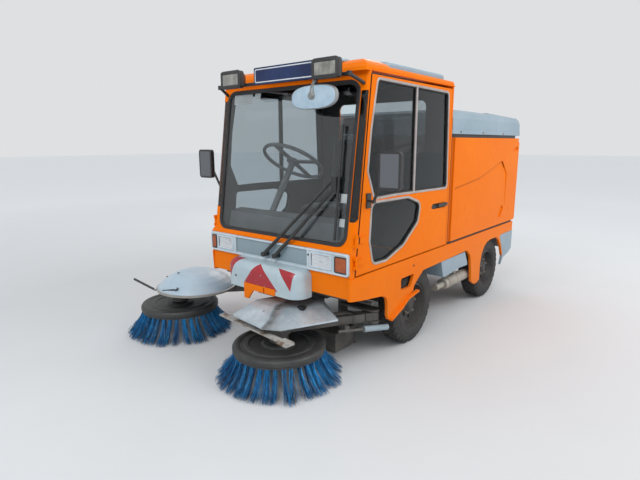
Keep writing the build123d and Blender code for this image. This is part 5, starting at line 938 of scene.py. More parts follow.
# The panel's own frame and two posts are rolled bands; a dark round plug closes an unused hole.
BAND = [(-0.0065, -0.002), (-0.0065, 0.003), (-0.004, 0.005), (0.004, 0.005), (0.0065, 0.003),
        (0.0065, -0.002)]
PANEL_EDGES = (-0.6435, 0.6435, 0.7165, 0.8435)
PANEL_POSTS, POST_LOW_Z, POST_TOP_Z = (-0.374, 0.328), 0.722, 0.838
PANEL_HOLE = (0.3335, PANEL_Y - 0.0045, 0.8084)
swept("panel_frame", facing_path(PANEL_Y, PANEL_EDGES, 0.012, 5), BAND, frame_pale, AHEAD)
for number, x in enumerate(PANEL_POSTS):
    swept(f"panel_post_{number}", [(x, PANEL_Y, POST_LOW_Z), (x, PANEL_Y, POST_TOP_Z)], BAND, frame_pale,
          AHEAD, closed=False)
heads("panel_plug", [PANEL_HOLE], AHEAD, 0.0045, 0.003, seal_rubber, "vehicle", steps=16)


# Nose cover: white moulded hood, worn at the front edge, held by small bolts. Red warning triangles are cut
# from film that was laid flat over the rounded top edge, so their height is measured along the bend.
SOFT_EDGE = 0.0012
BEND_Y, BEND_SHARE = -0.575, 0.8
TRIANGLES = [[(-0.289, 0.600), (-0.199, 0.778), (-0.400, 0.778), (-0.400, 0.600)],
             [(-0.151, 0.566), (0.172, 0.554), (-0.014, 0.737)],
             [(0.283, 0.580), (0.306, 0.716), (0.157, 0.733)]]
NOSE_BOLT = (-0.235, -0.5755, 0.600)
beside_line, given, result = effect("beside_line", {"X0": 0.0, "Z0": 0.0, "Across": 1.0, "Up": 0.0}, "Inside")
film_spot = axes(beside_line)
bent = maths(beside_line, "MULTIPLY", maths(beside_line, "SUBTRACT", film_spot["Y"], BEND_Y), BEND_SHARE)
laid = maths(beside_line, "ADD", film_spot["Z"], bent)
across = maths(beside_line, "SUBTRACT", film_spot["X"], given["X0"])
run = maths(beside_line, "MULTIPLY", across, given["Across"])
rise = maths(beside_line, "MULTIPLY", maths(beside_line, "SUBTRACT", laid, given["Z0"]), given["Up"])
inside = span(beside_line, maths(beside_line, "ADD", run, rise), -SOFT_EDGE, SOFT_EDGE)
beside_line.links.new(inside, result["Inside"])


def film_piece(tree, corners):
    """Mask of one piece of film given by corners in anticlockwise order, each (x, laid height)."""
    mask = 1.0
    for (x0, z0), (x1, z1) in zip(corners, corners[1:] + corners[:1]):
        long = math.hypot(x1 - x0, z1 - z0)
        line = use_effect(tree, beside_line, X0=x0, Z0=z0, Across=-(z1 - z0) / long, Up=(x1 - x0) / long)
        mask = maths(tree, "MULTIPLY", mask, line["Inside"])
    return mask


nose_paint = surface("nose_paint", (0.39, 0.49, 0.545, 1), (0.46, 0.555, 0.60, 1), 0.38, patch=8.0, wear=0.6,
                     wear_colour=(0.36, 0.34, 0.32, 1), film=0.35, film_reach=0.85,
                     film_colour=(0.30, 0.27, 0.25, 1), streaks=0.3, streak_colour=(0.40, 0.38, 0.37, 1),
                     Coat_Weight=0.2)
nose_tree = nose_paint.node_tree
red = 0.0
for corners in TRIANGLES:
    red = maths(nose_tree, "MAXIMUM", red, film_piece(nose_tree, corners))
unscuffed = span(nose_tree, speckle(nose_tree, 26.0, 6.0, 0.7), 0.66, 0.60)
red_tone = mixed(nose_tree, speckle(nose_tree, 12.0), (0.30, 0.004, 0.012, 1), (0.40, 0.012, 0.022, 1))
tint(nose_tree, maths(nose_tree, "MULTIPLY", red, unscuffed), red_tone)
dress(nose_paint, "nose_cover")
heads("nose_bolts", [NOSE_BOLT], AHEAD, 0.006, 0.004, nut_steel, "vehicle")


# Roof sign: a shallow box of sheet steel bolted to the lamp bar. Its enamelled face is dark blue with a pale
# border, and left bare.
SIGN_INSET = 0.013
SIGN_BORDER = [(-0.0035, -0.001), (-0.0035, 0.001), (0.0035, 0.001), (0.0035, -0.001)]
sign_low, sign_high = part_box("sign_plate")
sign_material = surface("sign_face", (0.008, 0.018, 0.070, 1), (0.013, 0.030, 0.105, 1), 0.30, patch=5.0,
                        wear=0.2, wear_colour=(0.2, 0.25, 0.35, 1), streaks=0.2,
                        streak_colour=(0.04, 0.06, 0.12, 1), Specular_IOR_Level=0.35)
dress(sign_material, "sign_plate")
border_material = surface("sign_border", (0.55, 0.58, 0.62, 1), (0.66, 0.69, 0.72, 1), 0.3, patch=10.0,
                          wear=0.2, streaks=0.2)
sign_edges = inset_edges((sign_low.x, sign_high.x, sign_low.z, sign_high.z), SIGN_INSET)
swept("sign_border", facing_path(sign_low.y - 0.0002, sign_edges, 0.010, 5), SIGN_BORDER, border_material,
      AHEAD)


# Front mirror: its moulded back faces ahead, a pale blue-grey plate with flattened ends in a grey rim, held
# by a worn steel clamp on the stalk from the lamp bar.
mirror_back = surface("mirror_back", (0.34, 0.46, 0.56, 1), (0.42, 0.54, 0.64, 1), 0.34, patch=16.0, wear=0.4,
                      wear_colour=(0.16, 0.16, 0.16, 1), streaks=0.25, streak_colour=(0.28, 0.34, 0.38, 1))
mirror_rim = surface("mirror_rim", (0.22, 0.23, 0.23, 1), (0.32, 0.33, 0.33, 1), 0.45, patch=20.0, wear=0.7,
                     wear_colour=(0.06, 0.06, 0.06, 1), streaks=0.3)
clamp_steel = surface("clamp_steel", (0.16, 0.17, 0.17, 1), (0.30, 0.31, 0.30, 1), 0.45, patch=30.0, wear=0.6,
                      wear_colour=(0.50, 0.50, 0.48, 1), Metallic=0.3)
MIRROR_MIDDLE = Vector((0.352, -0.420, 1.780))
MIRROR_LONG, MIRROR_SHORT = 0.204, 0.070
MIRROR_TURN = math.radians(8)
# Rings of the rim, the plate and the clamp: the share of the outline (the clamp's reach) and the step ahead.
RIM_RINGS = [(0.90, -0.0165), (1.0, -0.0170), (1.015, -0.0140), (1.015, -0.0050), (1.0, -0.0010), (0.975, 0.0),
             (0.955, 0.0005)]
PLATE_RINGS = [(0.955, -0.002), (0.955, 0.0025), (0.945, 0.0045), (0.925, 0.0050), (0.900, 0.0038),
               (0.880, 0.0042), (0.70, 0.0062), (0.40, 0.0075), (0.12, 0.0080)]
CLAMP_RINGS = [(0.034, -0.001), (0.034, 0.003), (0.024, 0.005), (0.017, 0.011), (0.010, 0.013),
               (0.0005, 0.0135)]
CLAMP_PLACE = Vector((0.352, -0.4275, 1.788))
CLAMP_FLATNESS, CLAMP_STEPS = 0.72, 24
MIRROR_ARM_PATH = [(0.352, -0.4330, 1.786), (0.352, -0.4310, 1.820), (0.352, -0.4180, 1.850),
                   (0.352, -0.4000, 1.880)]
MIRROR_ARM_SECTION = [(-0.012, -0.006), (-0.012, 0.004), (-0.007, 0.007), (0.007, 0.007), (0.012, 0.004),
                      (0.012, -0.006)]
mirror_across = Vector((math.cos(MIRROR_TURN), -math.sin(MIRROR_TURN), 0))
mirror_ahead = Vector((-math.sin(MIRROR_TURN), -math.cos(MIRROR_TURN), 0))


def ring_faces(rings, steps):
    """Quads that join rings of as many corners one after the other."""
    return [(steps * r + k, steps * (r + 1) + k, steps * (r + 1) + (k + 1) % steps, steps * r + (k + 1) % steps)
            for r in range(rings - 1) for k in range(steps)]


def mirror_skin(name, rings, material, blunt=2.7, steps=72):
    """Rings of (share of the outline, step ahead) joined into a skin round the turned mirror's outline."""
    verts = []
    for share, step_ahead in rings:
        for k in range(steps):
            c, s = math.cos(math.tau * k / steps), math.sin(math.tau * k / steps)
            across = MIRROR_LONG * share * math.copysign(abs(c) ** (2 / blunt), c)
            up = MIRROR_SHORT * share * math.copysign(abs(s) ** (2 / blunt), s)
            flat_place = MIRROR_MIDDLE + mirror_across * across + mirror_ahead * step_ahead
            verts.append(flat_place + Vector((0, 0, up)))
    faces = ring_faces(len(rings), steps)
    faces.append(tuple((len(rings) - 1) * steps + k for k in reversed(range(steps))))
    shell = faceted(mesh_object(name, verts, faces, material), 50)
    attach(shell, "vehicle")


mirror_skin("mirror_rim", RIM_RINGS, mirror_rim)
mirror_skin("mirror_plate", PLATE_RINGS, mirror_back)
verts = []
for reach, step_ahead in CLAMP_RINGS:
    for k in range(CLAMP_STEPS):
        c, s = math.cos(math.tau * k / CLAMP_STEPS), math.sin(math.tau * k / CLAMP_STEPS)
        verts.append(CLAMP_PLACE + Vector((reach * c, -step_ahead, reach * CLAMP_FLATNESS * s)))
clamp = faceted(mesh_object("mirror_clamp", verts, ring_faces(len(CLAMP_RINGS), CLAMP_STEPS), clamp_steel))
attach(clamp, "vehicle")
swept("mirror_arm", MIRROR_ARM_PATH, MIRROR_ARM_SECTION, clamp_steel, (0, -1, 0.2), closed=False)


# Mirror glass in the rear faces of the two door mirrors: flat panes, silvered on their backs and pressed
# into the shells' rims.
MIRROR_HEAD_DEEP = 0.039
PANE_OUT, PANE_IN, PANE_LOW, PANE_TOP = 0.010, 0.140, 0.208, 0.012
silvered, silvered_tree, silvered_shader = new_material("silvered", Metallic=1.0)
silver_tone = mixed(silvered_tree, speckle(silvered_tree, 20.0), (0.62, 0.65, 0.67, 1), (0.74, 0.76, 0.78, 1))
silver_dull = span(silvered_tree, speckle(silvered_tree, 40.0), 0.3, 0.7, 0.04, 0.12)
silvered_tree.links.new(silver_tone, silvered_shader.inputs["Base Color"])
silvered_tree.links.new(silver_dull, silvered_shader.inputs["Roughness"])
for side, sign in (("left", 1), ("right", -1)):
    low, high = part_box(f"door_mirror_{side}")
    outer = high.x if sign > 0 else low.x
    x0, x1 = sorted((outer - sign * PANE_IN, outer - sign * PANE_OUT))
    outline = round_corners(box_corners(x0, x1, high.z - PANE_LOW, high.z - PANE_TOP), 0.022)
    count = len(outline)
    verts = [(x, low.y + MIRROR_HEAD_DEEP + d, z) for d in (-0.002, 0.0012) for x, z in outline]
    faces = [tuple(range(count)), tuple(reversed(range(count, 2 * count)))]
    faces += [(k, (k + 1) % count, count + (k + 1) % count, count + k) for k in range(count)]
    pane = mesh_object(f"mirror_glass_{side}", verts, faces, silvered, False)
    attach(pane, f"door_{side}")


# Near broom cover: folded bare sheet on a post from the arm, scuffed and scratched, its edges bright, with
# painted shade in the hollow beside its crease. It has a hand hole with a rubber edge and a small slot.
bare_sheet = surface("bare_sheet", (0.42, 0.50, 0.55, 1), (0.62, 0.71, 0.77, 1), 0.38, patch=7.0, wear=1.0,
                     wear_colour=(0.72, 0.74, 0.75, 1), film=0.30, film_reach=0.60,
                     film_colour=(0.25, 0.22, 0.19, 1), grain=60.0, grain_share=0.8, relief=0.0015, Metallic=0.45)
SCRATCH_STRETCH = (60.0, 5.0, 20.0)
# Rim, top and crease are drawn in millimetres from the hub.
SHEET_RIM = [(-191, -261), (121, -140), (187, -38), (150, 354), (-60, 385), (-215, 320), (-300, 90),
             (-285, -120)]
SHEET_TOP = [(-215, -105), (-62, -40), (20, 20), (30, 300), (-80, 335), (-185, 275), (-262, 60), (-240, -90)]
SHEET_CREASE = [(150, -190), (54, -84), (-74, 3), (-149, 94), (-180, 160), (-225, 230)]
SHEET_MIDDLE = Vector((-115, 95)) / 1000
SHEET_RIM_Z, SHEET_FOLD, SHEET_THICK = 0.392, 0.073, 0.0035
SIDE_STEPS, LIP_RINGS, FOLD_RINGS, SHEET_RINGS = 20, 2, 16, 34
HAND_X, HAND_Y, HAND_RADIUS = 0.030, 0.149, 0.024
SLOT_X, SLOT_Y, SLOT_RADIUS = -0.047, -0.085, 0.009
HAND_HOLE_EDGE = [(-0.003, -0.012), (-0.004, 0.001), (0.001, 0.0030), (0.006, 0.001), (0.005, -0.002)]
ARM_PIVOT = Vector((0.552, -0.020, 0))
ARM_REST = Matrix.Rotation(math.radians(-30), 3, "Z")
ARM_LENGTH = 0.680
POST_RADIUS, POST_LONG, POST_X, POST_Z = 0.024, 0.096, -0.040, 0.358
sheet_tree = bare_sheet.node_tree
scratch_place = put(sheet_tree, "ShaderNodeVectorMath", {0: object_place(sheet_tree), 1: SCRATCH_STRETCH},
                    operation="MULTIPLY").outputs[0]
scratches = span(sheet_tree, speckle(sheet_tree, 3.0, 8.0, 0.75, scratch_place), 0.56, 0.66)
tint(sheet_tree, maths(sheet_tree, "MULTIPLY", scratches, 0.55), (0.16, 0.15, 0.14, 1))
dress(bare_sheet, "broom_cover_left")


def from_hub(x, y, z):
    """A place given from the left hub, arm straight ahead, as it lies at rest."""
    return ARM_PIVOT + ARM_REST @ Vector((x, y - ARM_LENGTH, z))


def crease_at(x, y):
    """Height change by the curved crease: a ridge on its left side, a hollow on its right."""
    best, away = 1.0, 0.0
    for (x0, y0), (x1, y1) in zip(SHEET_CREASE, SHEET_CREASE[1:]):
        a, b, p = Vector((x0, y0)) / 1000, Vector((x1, y1)) / 1000, Vector((x, y))
        t = min(1.0, max(0.0, (p - a).dot(b - a) / (b - a).length_squared))
        gap = (p - a - (b - a) * t).length
        if gap < best:
            best, away = gap, (b - a).cross(p - a)
    if away > 0:
        return 0.0
    return -0.020 * (1 - math.exp(-best / 0.010)) * math.exp(-best / 0.060)


hollow_shade = []


def sheet_skin(drop, share):
    """The sheet's outer or inner skin: rings from the turned-down edge in to the middle of the top."""
    corners = len(SHEET_RIM)
    count = SIDE_STEPS * corners
    verts, faces = [], []
    for ring in range(SHEET_RINGS + 1):
        for corner in range(corners):
            for k in range(SIDE_STEPS):
                t = k / SIDE_STEPS
                low = Vector(SHEET_RIM[corner]).lerp(Vector(SHEET_RIM[(corner + 1) % corners]), t) / 1000
                top = Vector(SHEET_TOP[corner]).lerp(Vector(SHEET_TOP[(corner + 1) % corners]), t) / 1000
                low = SHEET_MIDDLE + (low - SHEET_MIDDLE) * share
                top = SHEET_MIDDLE + (top - SHEET_MIDDLE) * share
                if ring < LIP_RINGS:
                    p, z = low, SHEET_RIM_Z - 0.010 + 0.010 * ring
                elif ring <= FOLD_RINGS:
                    s = (ring - LIP_RINGS) / (FOLD_RINGS - LIP_RINGS)
                    p, z = low.lerp(top, s), SHEET_RIM_Z + SHEET_FOLD * (s - 0.06 * max(0.0, s - 0.7) / 0.3)
                else:
                    s = (ring - FOLD_RINGS) / (SHEET_RINGS - FOLD_RINGS)
                    p = top.lerp(SHEET_MIDDLE, s * 0.999)
                    z = SHEET_RIM_Z + SHEET_FOLD * (0.94 + 0.06 * min(1.0, s * 4))
                calm = min(1.0, ring / 7)
                dents = noise.noise(Vector((p.x * 9, p.y * 9, 3.1))) * 0.0035
                dents += noise.noise(Vector((p.x * 26, p.y * 26, 8.4))) * 0.0012
                hollow = crease_at(p.x, p.y)
                z += calm * (hollow + dents - 0.0010) - drop
                # How deep the crease's hollow is here, kept for the painted shade.
                hollow_shade.append(min(1.0, -hollow / 0.012))
                verts.append(from_hub(p.x, p.y, min(z, SHEET_RIM_Z + SHEET_FOLD - drop)))
    for ring in range(SHEET_RINGS):
        for k in range(count):
            m = (k + 1) % count
            faces.append((ring * count + k, ring * count + m, (ring + 1) * count + m, (ring + 1) * count + k))
    return verts, faces, count


outer_verts, outer_faces, count = sheet_skin(0.0, 1.0)
inner_verts, inner_faces, count = sheet_skin(SHEET_THICK, 0.985)
shift = len(outer_verts)
edge_faces = [(k, k + shift, (k + 1) % count + shift, (k + 1) % count) for k in range(count)]
inner_faces = [tuple(i + shift for i in reversed(f)) for f in inner_faces]
sheet_faces = outer_faces + inner_faces + edge_faces
sheet = mesh_object("cover_sheet_left", outer_verts + inner_verts, sheet_faces, bare_sheet)
sheet.data.attributes.new("hollow_shade", "FLOAT", "POINT").data.foreach_set("value", hollow_shade)
# Painted shade: the sheet darkens in the crease's hollow, broken up in patches.
hollow_shade_share = put(sheet_tree, "ShaderNodeAttribute", attribute_name="hollow_shade").outputs["Fac"]
patchy = span(sheet_tree, speckle(sheet_tree, 22.0, 6.0, 0.7), 0.30, 0.62, 0.45, 0.95)
tint(sheet_tree, maths(sheet_tree, "MULTIPLY", hollow_shade_share, patchy), (0.15, 0.155, 0.16, 1))
for label, x, y, radius in (("hand_hole", HAND_X, HAND_Y, HAND_RADIUS),
                            ("slot_hole", SLOT_X, SLOT_Y, SLOT_RADIUS)):
    middle = from_hub(x, y, SHEET_RIM_Z)
    bpy.ops.mesh.primitive_cylinder_add(vertices=32, radius=radius, depth=0.2, location=middle)
    cutter = bpy.context.view_layer.objects.active
    cut = sheet.modifiers.new(label, "BOOLEAN")
    cut.operation = "DIFFERENCE"
    cut.solver = "EXACT"
    cut.object = cutter
    bpy.ops.object.select_all(action="DESELECT")
    bpy.context.view_layer.objects.active = sheet
    sheet.select_set(True)
    bpy.ops.object.modifier_apply(modifier=label)
    bpy.data.objects.remove(cutter)
faceted(sheet, 40)
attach(sheet, "lift_left")
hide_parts("broom_cover_left")
post = turned("cover_post_left", [(0.0, POST_RADIUS - 0.0005), (0.0, POST_RADIUS), (POST_LONG, POST_RADIUS),
                                  (POST_LONG, POST_RADIUS - 0.0005)], 28, chassis_paint)
post.data.transform(Matrix.Rotation(math.radians(-90), 4, "Y"))
post.location = from_hub(POST_X, 0, POST_Z)
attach(post, "lift_left")
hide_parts("broom_cover_left")
hole_turns = [math.tau * k / 32 for k in range(32)]
hole_edge = [from_hub(HAND_X + HAND_RADIUS * math.cos(a), HAND_Y + HAND_RADIUS * math.sin(a),
                      SHEET_RIM_Z + SHEET_FOLD - 0.0015) for a in hole_turns]
swept("hand_hole_edge", hole_edge, HAND_HOLE_EDGE, seal_rubber, (0, 0, 1), body="lift_left")


# Left arm: black welded box beam. The flat bumper bar ahead of the hub has lost its paint and is pale with
# rust, its two bolts bright and brown. The slung cylinder is painted pale grey.
BAR_HALF, BAR_LOW_Z, BAR_TOP_Z = 0.036, 0.333, 0.3525
BAR_BOLTS = [(0.075, -0.045, 0.3475), (0.040, -0.120, 0.3475)]
RAM_ENDS, RAM_RADIUS = ((0.030, 0.100, 0.239), (0.062, -0.100, 0.261)), 0.0222
arm_paint = surface("arm_paint", BLACK, BLACK_FADED, 0.55, **BLACK_LOOK)
arm_tree = arm_paint.node_tree
bar_start, bar_end = from_hub(-0.355, -0.310, 0), from_hub(0.318, -0.021, 0)
bar_run = (bar_end - bar_start).normalized()
bar_side = (bar_run.y, -bar_run.x, 0)
from_bar = put(arm_tree, "ShaderNodeVectorMath", {0: object_place(arm_tree), 1: bar_start},
               operation="SUBTRACT").outputs[0]
off_bar = put(arm_tree, "ShaderNodeVectorMath", {0: from_bar, 1: bar_side},
              operation="DOT_PRODUCT").outputs["Value"]
bar_z = axes(arm_tree)["Z"]
on_bar = within(arm_tree, (off(arm_tree, off_bar), BAR_HALF + 0.0005, BAR_HALF - 0.0005),
                (bar_z, BAR_LOW_Z - 0.001, BAR_LOW_Z + 0.001), (bar_z, BAR_TOP_Z + 0.0005, BAR_TOP_Z - 0.0005))
rust_share = span(arm_tree, speckle(arm_tree, 14.0, 7.0, 0.75), 0.50, 0.60)
pale_steel = mixed(arm_tree, speckle(arm_tree, 30.0, 6.0, 0.7), (0.26, 0.25, 0.23, 1), (0.46, 0.45, 0.43, 1))
ram_tone = mixed(arm_tree, speckle(arm_tree, 18.0, 6.0, 0.7), (0.25, 0.32, 0.36, 1), (0.34, 0.41, 0.45, 1))
ram_start, ram_end = (ARM_PIVOT + ARM_REST @ Vector(end) for end in RAM_ENDS)
tint(arm_tree, on_bar, mixed(arm_tree, rust_share, pale_steel, (0.13, 0.075, 0.045, 1)))
tint(arm_tree, on_rod(arm_tree, ram_start, ram_end, RAM_RADIUS), ram_tone)
dress(arm_paint, "arm_beam_left")
heads("bar_bolts", [from_hub(*bolt) for bolt in BAR_BOLTS], (0, 0, 1), 0.009, 0.007, nut_steel, "lift_left")


# Brooms: a moulded rubber disc with rings carries tufts of bright blue polypropylene and dark fibres, splayed
# outward by use, uneven and dusty. A rubber ring under the disc clamps the tufts' roots.
disc_rubber = surface("disc_rubber", (0.016, 0.017, 0.018, 1), (0.034, 0.034, 0.034, 1), 0.46, patch=12.0,
                      wear=0.6, wear_colour=(0.10, 0.10, 0.10, 1), film=0.75, film_reach=0.33,
                      film_colour=(0.105, 0.10, 0.09, 1))
dress(disc_rubber, "broom_disc_left", "broom_disc_right")
FIBRE_TONES = [("fibre_blue", (0.006, 0.215, 0.560, 1), (0.020, 0.370, 0.800, 1)),
               ("fibre_deep", (0.005, 0.060, 0.210, 1), (0.010, 0.110, 0.330, 1)),
               ("fibre_black", (0.012, 0.012, 0.013, 1), (0.030, 0.028, 0.026, 1)),
               ("fibre_brown", (0.10, 0.075, 0.055, 1), (0.18, 0.14, 0.10, 1)),
               ("fibre_pale", (0.30, 0.42, 0.52, 1), (0.42, 0.52, 0.58, 1))]
FIBRE_CHANCES = (0.56, 0.19, 0.11, 0.07, 0.07)
TUFTS, FIBRES, FIBRE_STEPS = 36, 70, 4
ROOT_RADIUS, TIP_RADIUS, TIP_Z = 0.270, 0.402, 0.006
RING_PROFILE = [(0.236, 0.0), (0.298, 0.0), (0.298, -0.010), (0.286, -0.013), (0.246, -0.013),
                (0.236, -0.010)]
RING_STEPS = 72
fibre_materials = [surface(name, tone, second, 0.45, patch=30.0, wear=0.0, film=0.18, film_reach=0.10,
                           film_colour=(0.14, 0.13, 0.12, 1)) for name, tone, second in FIBRE_TONES]


def broom_fibres(side, hub, root_z, reach, rng):
    """All fibres of one broom as one mesh, each a thin three-sided rod in its own tone."""
    verts, faces, tones = [], [], []
    for tuft in range(TUFTS):
        middle = math.tau * tuft / TUFTS
        lean = rng.gauss(0, 0.035)
        spread = 0.9 + 0.25 * rng.random()
        long = 0.93 + 0.07 * rng.random()
        tone_bias = rng.random()
        for number in range(FIBRES):
            angle = middle + rng.gauss(0, 0.020)
            root_r = ROOT_RADIUS + rng.uniform(-0.020, 0.022)
            fan = rng.gauss(0, 0.030) * spread
            tip_r = min(reach, (TIP_RADIUS + rng.uniform(-0.050, 0.034)) * long)
            tip_z = TIP_Z + abs(rng.gauss(0, 0.012)) + 0.02 * (1 - long)
            curl = rng.gauss(0, 0.003)
            points = []
            for step in range(FIBRE_STEPS + 1):
                t = step / FIBRE_STEPS
                r = root_r + (tip_r - root_r) * (0.55 * t + 0.45 * t * t)
                z = root_z + (tip_z - root_z) * (1.12 * t - 0.12 * t * t)
                a = angle + (fan + lean) * t + curl * math.sin(math.pi * t)
                points.append(Vector((hub.x + r * math.cos(a), hub.y + r * math.sin(a), z)))
            width = rng.uniform(0.0011, 0.0021)
            chance, tone = rng.random() * 0.8 + tone_bias * 0.2, 0
            for tone, share in enumerate(FIBRE_CHANCES):
                chance -= share
                if chance < 0:
                    break
            base = len(verts)
            for step, p in enumerate(points):
                along = (points[min(step + 1, FIBRE_STEPS)] - points[max(step - 1, 0)]).normalized()
                across = along.cross(Vector((0, 0, 1))).normalized()
                over = across.cross(along)
                w = width * (1 - 0.35 * step / FIBRE_STEPS)
                back = p - across * w * 0.5
                verts += [p + across * w, back + over * w * 0.87, back - over * w * 0.87]
            for low in range(base, base + 3 * FIBRE_STEPS, 3):
                for k in range(3):
                    m = (k + 1) % 3
                    faces.append((low + k, low + m, low + 3 + m, low + 3 + k))
                    tones.append(tone)
            tip = base + 3 * FIBRE_STEPS
            faces.append((tip, tip + 1, tip + 2))
            tones.append(tone)
    piece = mesh_object(f"fibres_{side}", verts, faces)
    for material in fibre_materials:
        piece.data.materials.append(material)
    piece.data.polygons.foreach_set("material_index", tones)
    return piece


def tuft_ring(side, hub, top_z):
    verts, faces = [], []
    count = len(RING_PROFILE)
    for i in range(RING_STEPS):
        a = math.tau * i / RING_STEPS
        verts += [(hub.x + r * math.cos(a), hub.y + r * math.sin(a), top_z + z) for r, z in RING_PROFILE]
        j = (i + 1) % RING_STEPS
        faces += [(i * count + k, j * count + k, j * count + (k + 1) % count, i * count + (k + 1) % count)
                  for k in range(count)]
    return faceted(mesh_object(f"tuft_ring_{side}", verts, faces, disc_rubber))


for side, draws in (("left", 11), ("right", 23)):
    low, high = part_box(f"broom_disc_{side}")
    hub = (low + high) / 2
    brush_low, brush_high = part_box(f"bristles_{side}")
    reach = (brush_high.x - brush_low.x) / 2 - 0.006
    fibres = broom_fibres(side, hub, low.z + 0.004, reach, random.Random(draws))
    for piece, slot in ((fibres, "bristle_blue"), (tuft_ring(side, hub, low.z), "black_plastic")):
        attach(piece, f"broom_{side}")
        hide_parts(f"bristles_{side}")


# Hopper cover's bolts: three plated steel bolts each side hold the moulded cover's flange to the hopper's
# top rail.
FLANGE_BOLTS = [(1.043, 1.592), (1.504, 1.590), (2.001, 1.588)]
cover_low, cover_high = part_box("hopper_cover")
for side, sign, face_x in (("left", 1, cover_high.x - 0.0005), ("right", -1, cover_low.x + 0.0005)):
    heads(f"flange_bolts_{side}", [(face_x, y, z) for y, z in FLANGE_BOLTS], (sign, 0, 0), 0.007, 0.005,
          nut_steel, "hopper")


# Driver's seat: black woven cloth over foam pads, with a separate head rest. The pads stand on a painted
# steel box on the cab floor, and swell a little as stuffed cloth does.
WEAVE = 160.0
SWELL_FRAMES, MOST_SWELL = 16, 0.010
seat_cloth, seat_tree, seat_shader = new_material("seat_cloth", Roughness=0.9, Sheen_Weight=0.3)
threads = [put(seat_tree, "ShaderNodeTexWave", {"Vector": object_place(seat_tree), "Scale": WEAVE},
               bands_direction=way).outputs[1] for way in ("X", "Z")]
weave = maths(seat_tree, "MULTIPLY", *threads)
seat_bump = put(seat_tree, "ShaderNodeBump", {"Height": weave, "Distance": 0.0006}).outputs[0]
seat_tone = mixed(seat_tree, weave, (0.024, 0.024, 0.027, 1), (0.046, 0.046, 0.052, 1))
seat_tree.links.new(seat_tone, seat_shader.inputs["Base Color"])
seat_tree.links.new(seat_bump, seat_shader.inputs["Normal"])


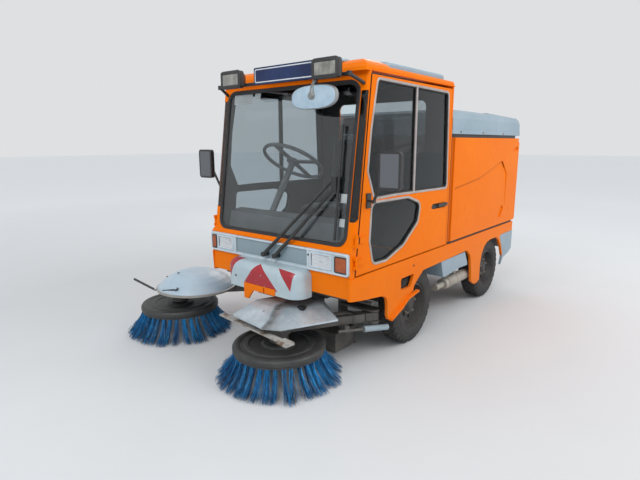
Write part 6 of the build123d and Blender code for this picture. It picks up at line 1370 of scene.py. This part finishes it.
def pad(name, corners, thickness, crown):
    """A stuffed pad between four corners of its back face; it swells by simulation where that runs."""
    a, b, c, d = (Vector(p) for p in corners)
    out = (b - a).cross(d - a).normalized()
    steps = 10
    verts, faces = [], []
    for layer in (0, 1):
        for j in range(steps + 1):
            for i in range(steps + 1):
                u, v = i / steps, j / steps
                p = a * (1 - u) * (1 - v) + b * u * (1 - v) + c * u * v + d * (1 - u) * v
                dome = crown * (1 - (2 * u - 1) ** 4) * (1 - (2 * v - 1) ** 4)
                verts.append(p + out * (thickness + dome if layer else 0))
    n = steps + 1
    for j in range(steps):
        for i in range(steps):
            q = (j * n + i, j * n + i + 1, (j + 1) * n + i + 1, (j + 1) * n + i)
            faces.append(tuple(reversed(q)))
            faces.append(tuple(n * n + k for k in q))
    edge = list(range(n)) + [j * n + steps for j in range(1, n)]
    edge += [steps * n + i for i in range(steps - 1, -1, -1)] + [j * n for j in range(steps - 1, 0, -1)]
    for p, q in zip(edge, edge[1:] + edge[:1]):
        faces.append((p, q, q + n * n, p + n * n))
    cushion = mesh_object(name, verts, faces, seat_cloth)
    ease = cushion.modifiers.new("corners", "BEVEL")
    ease.width = min(thickness * 0.4, 0.03)
    ease.segments = 4
    ease.limit_method = "ANGLE"
    ease.angle_limit = math.radians(50)
    bpy.context.view_layer.objects.active = cushion
    bpy.ops.object.select_all(action="DESELECT")
    cushion.select_set(True)
    bpy.ops.object.modifier_apply(modifier="corners")
    remesh = cushion.modifiers.new("even", "REMESH")
    remesh.mode = "VOXEL"
    remesh.voxel_size = 0.011
    bpy.ops.object.modifier_apply(modifier="even")
    start = [v.co.copy() for v in cushion.data.vertices]
    cloth = cushion.modifiers.new("swell", "CLOTH")
    cloth.settings.use_pressure = True
    cloth.settings.uniform_pressure_force = 4.0
    cloth.settings.effector_weights.gravity = 0.0
    cloth.point_cache.frame_start = 1
    cloth.point_cache.frame_end = SWELL_FRAMES
    for step in range(1, SWELL_FRAMES + 1):
        bpy.context.scene.frame_set(step)
    bpy.ops.object.modifier_apply(modifier="swell")
    bpy.context.scene.frame_set(1)
    for v, home in zip(cushion.data.vertices, start):
        move = v.co - home
        if move.length > MOST_SWELL:
            v.co = home + move.normalized() * MOST_SWELL
    cushion.data.polygons.foreach_set("use_smooth", [True] * len(cushion.data.polygons))
    soft = cushion.modifiers.new("soft", "SUBSURF")
    soft.levels = soft.render_levels = 1
    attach(cushion, "vehicle")
    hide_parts("driver_seat")


SEAT_X, SEAT_Y = -0.230, PANEL_Y + 0.750
# Each pad: half width, distance behind the seat's front and height of its low edge, the same of its far edge,
# then thickness, crown and how full it is stuffed.
PADS = {"seat_cushion": ((0.215, 0.015, 0.918), (0.215, 0.420, 0.912), 0.065, 0.012, 0.7),
        "seat_back": ((0.205, 0.450, 1.010), (0.190, 0.512, 1.545), 0.048, 0.010, 0.7),
        "head_rest": ((0.105, 0.516, 1.585), (0.095, 0.520, 1.725), 0.038, 0.008, 0.8)}
for name, ((half0, y0, z0), (half1, y1, z1), thickness, crown, fill) in PADS.items():
    pad(name, [(SEAT_X - half0, SEAT_Y + y0, z0), (SEAT_X + half0, SEAT_Y + y0, z0),
               (SEAT_X + half1, SEAT_Y + y1, z1), (SEAT_X - half1, SEAT_Y + y1, z1)], thickness, crown)
SEAT_BOX = [(-0.18, -0.19), (0.18, -0.19), (0.18, 0.19), (-0.18, 0.19)]
SEAT_BOX_Y = SEAT_Y + 0.24
SEAT_BOX_RINGS = [(0.590, 1.0), (0.86, 0.96), (0.905, 1.08), (0.915, 1.08)]
verts = [(SEAT_X + x * share, SEAT_BOX_Y + y * share, z) for z, share in SEAT_BOX_RINGS for x, y in SEAT_BOX]
faces = [tuple(reversed(f)) for f in ring_faces(len(SEAT_BOX_RINGS), len(SEAT_BOX))]
faces += [(15, 14, 13, 12), (0, 1, 2, 3)]
seat_box = eased(faceted(mesh_object("seat_box", verts, faces, chassis_paint)), 0.006)
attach(seat_box, "vehicle")
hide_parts("driver_seat")


# Rear lamps: a red plastic housing with its lens each side, moulded in one and screwed to the rear panel.
# Dust has dulled their lower edges.
lamp_red = surface("lamp_red", (0.30, 0.012, 0.010, 1), (0.40, 0.020, 0.016, 1), 0.18, patch=20.0, wear=0.0,
                   film=0.25, film_reach=0.8, Coat_Weight=0.5)
dress(lamp_red, "rear_lamps")
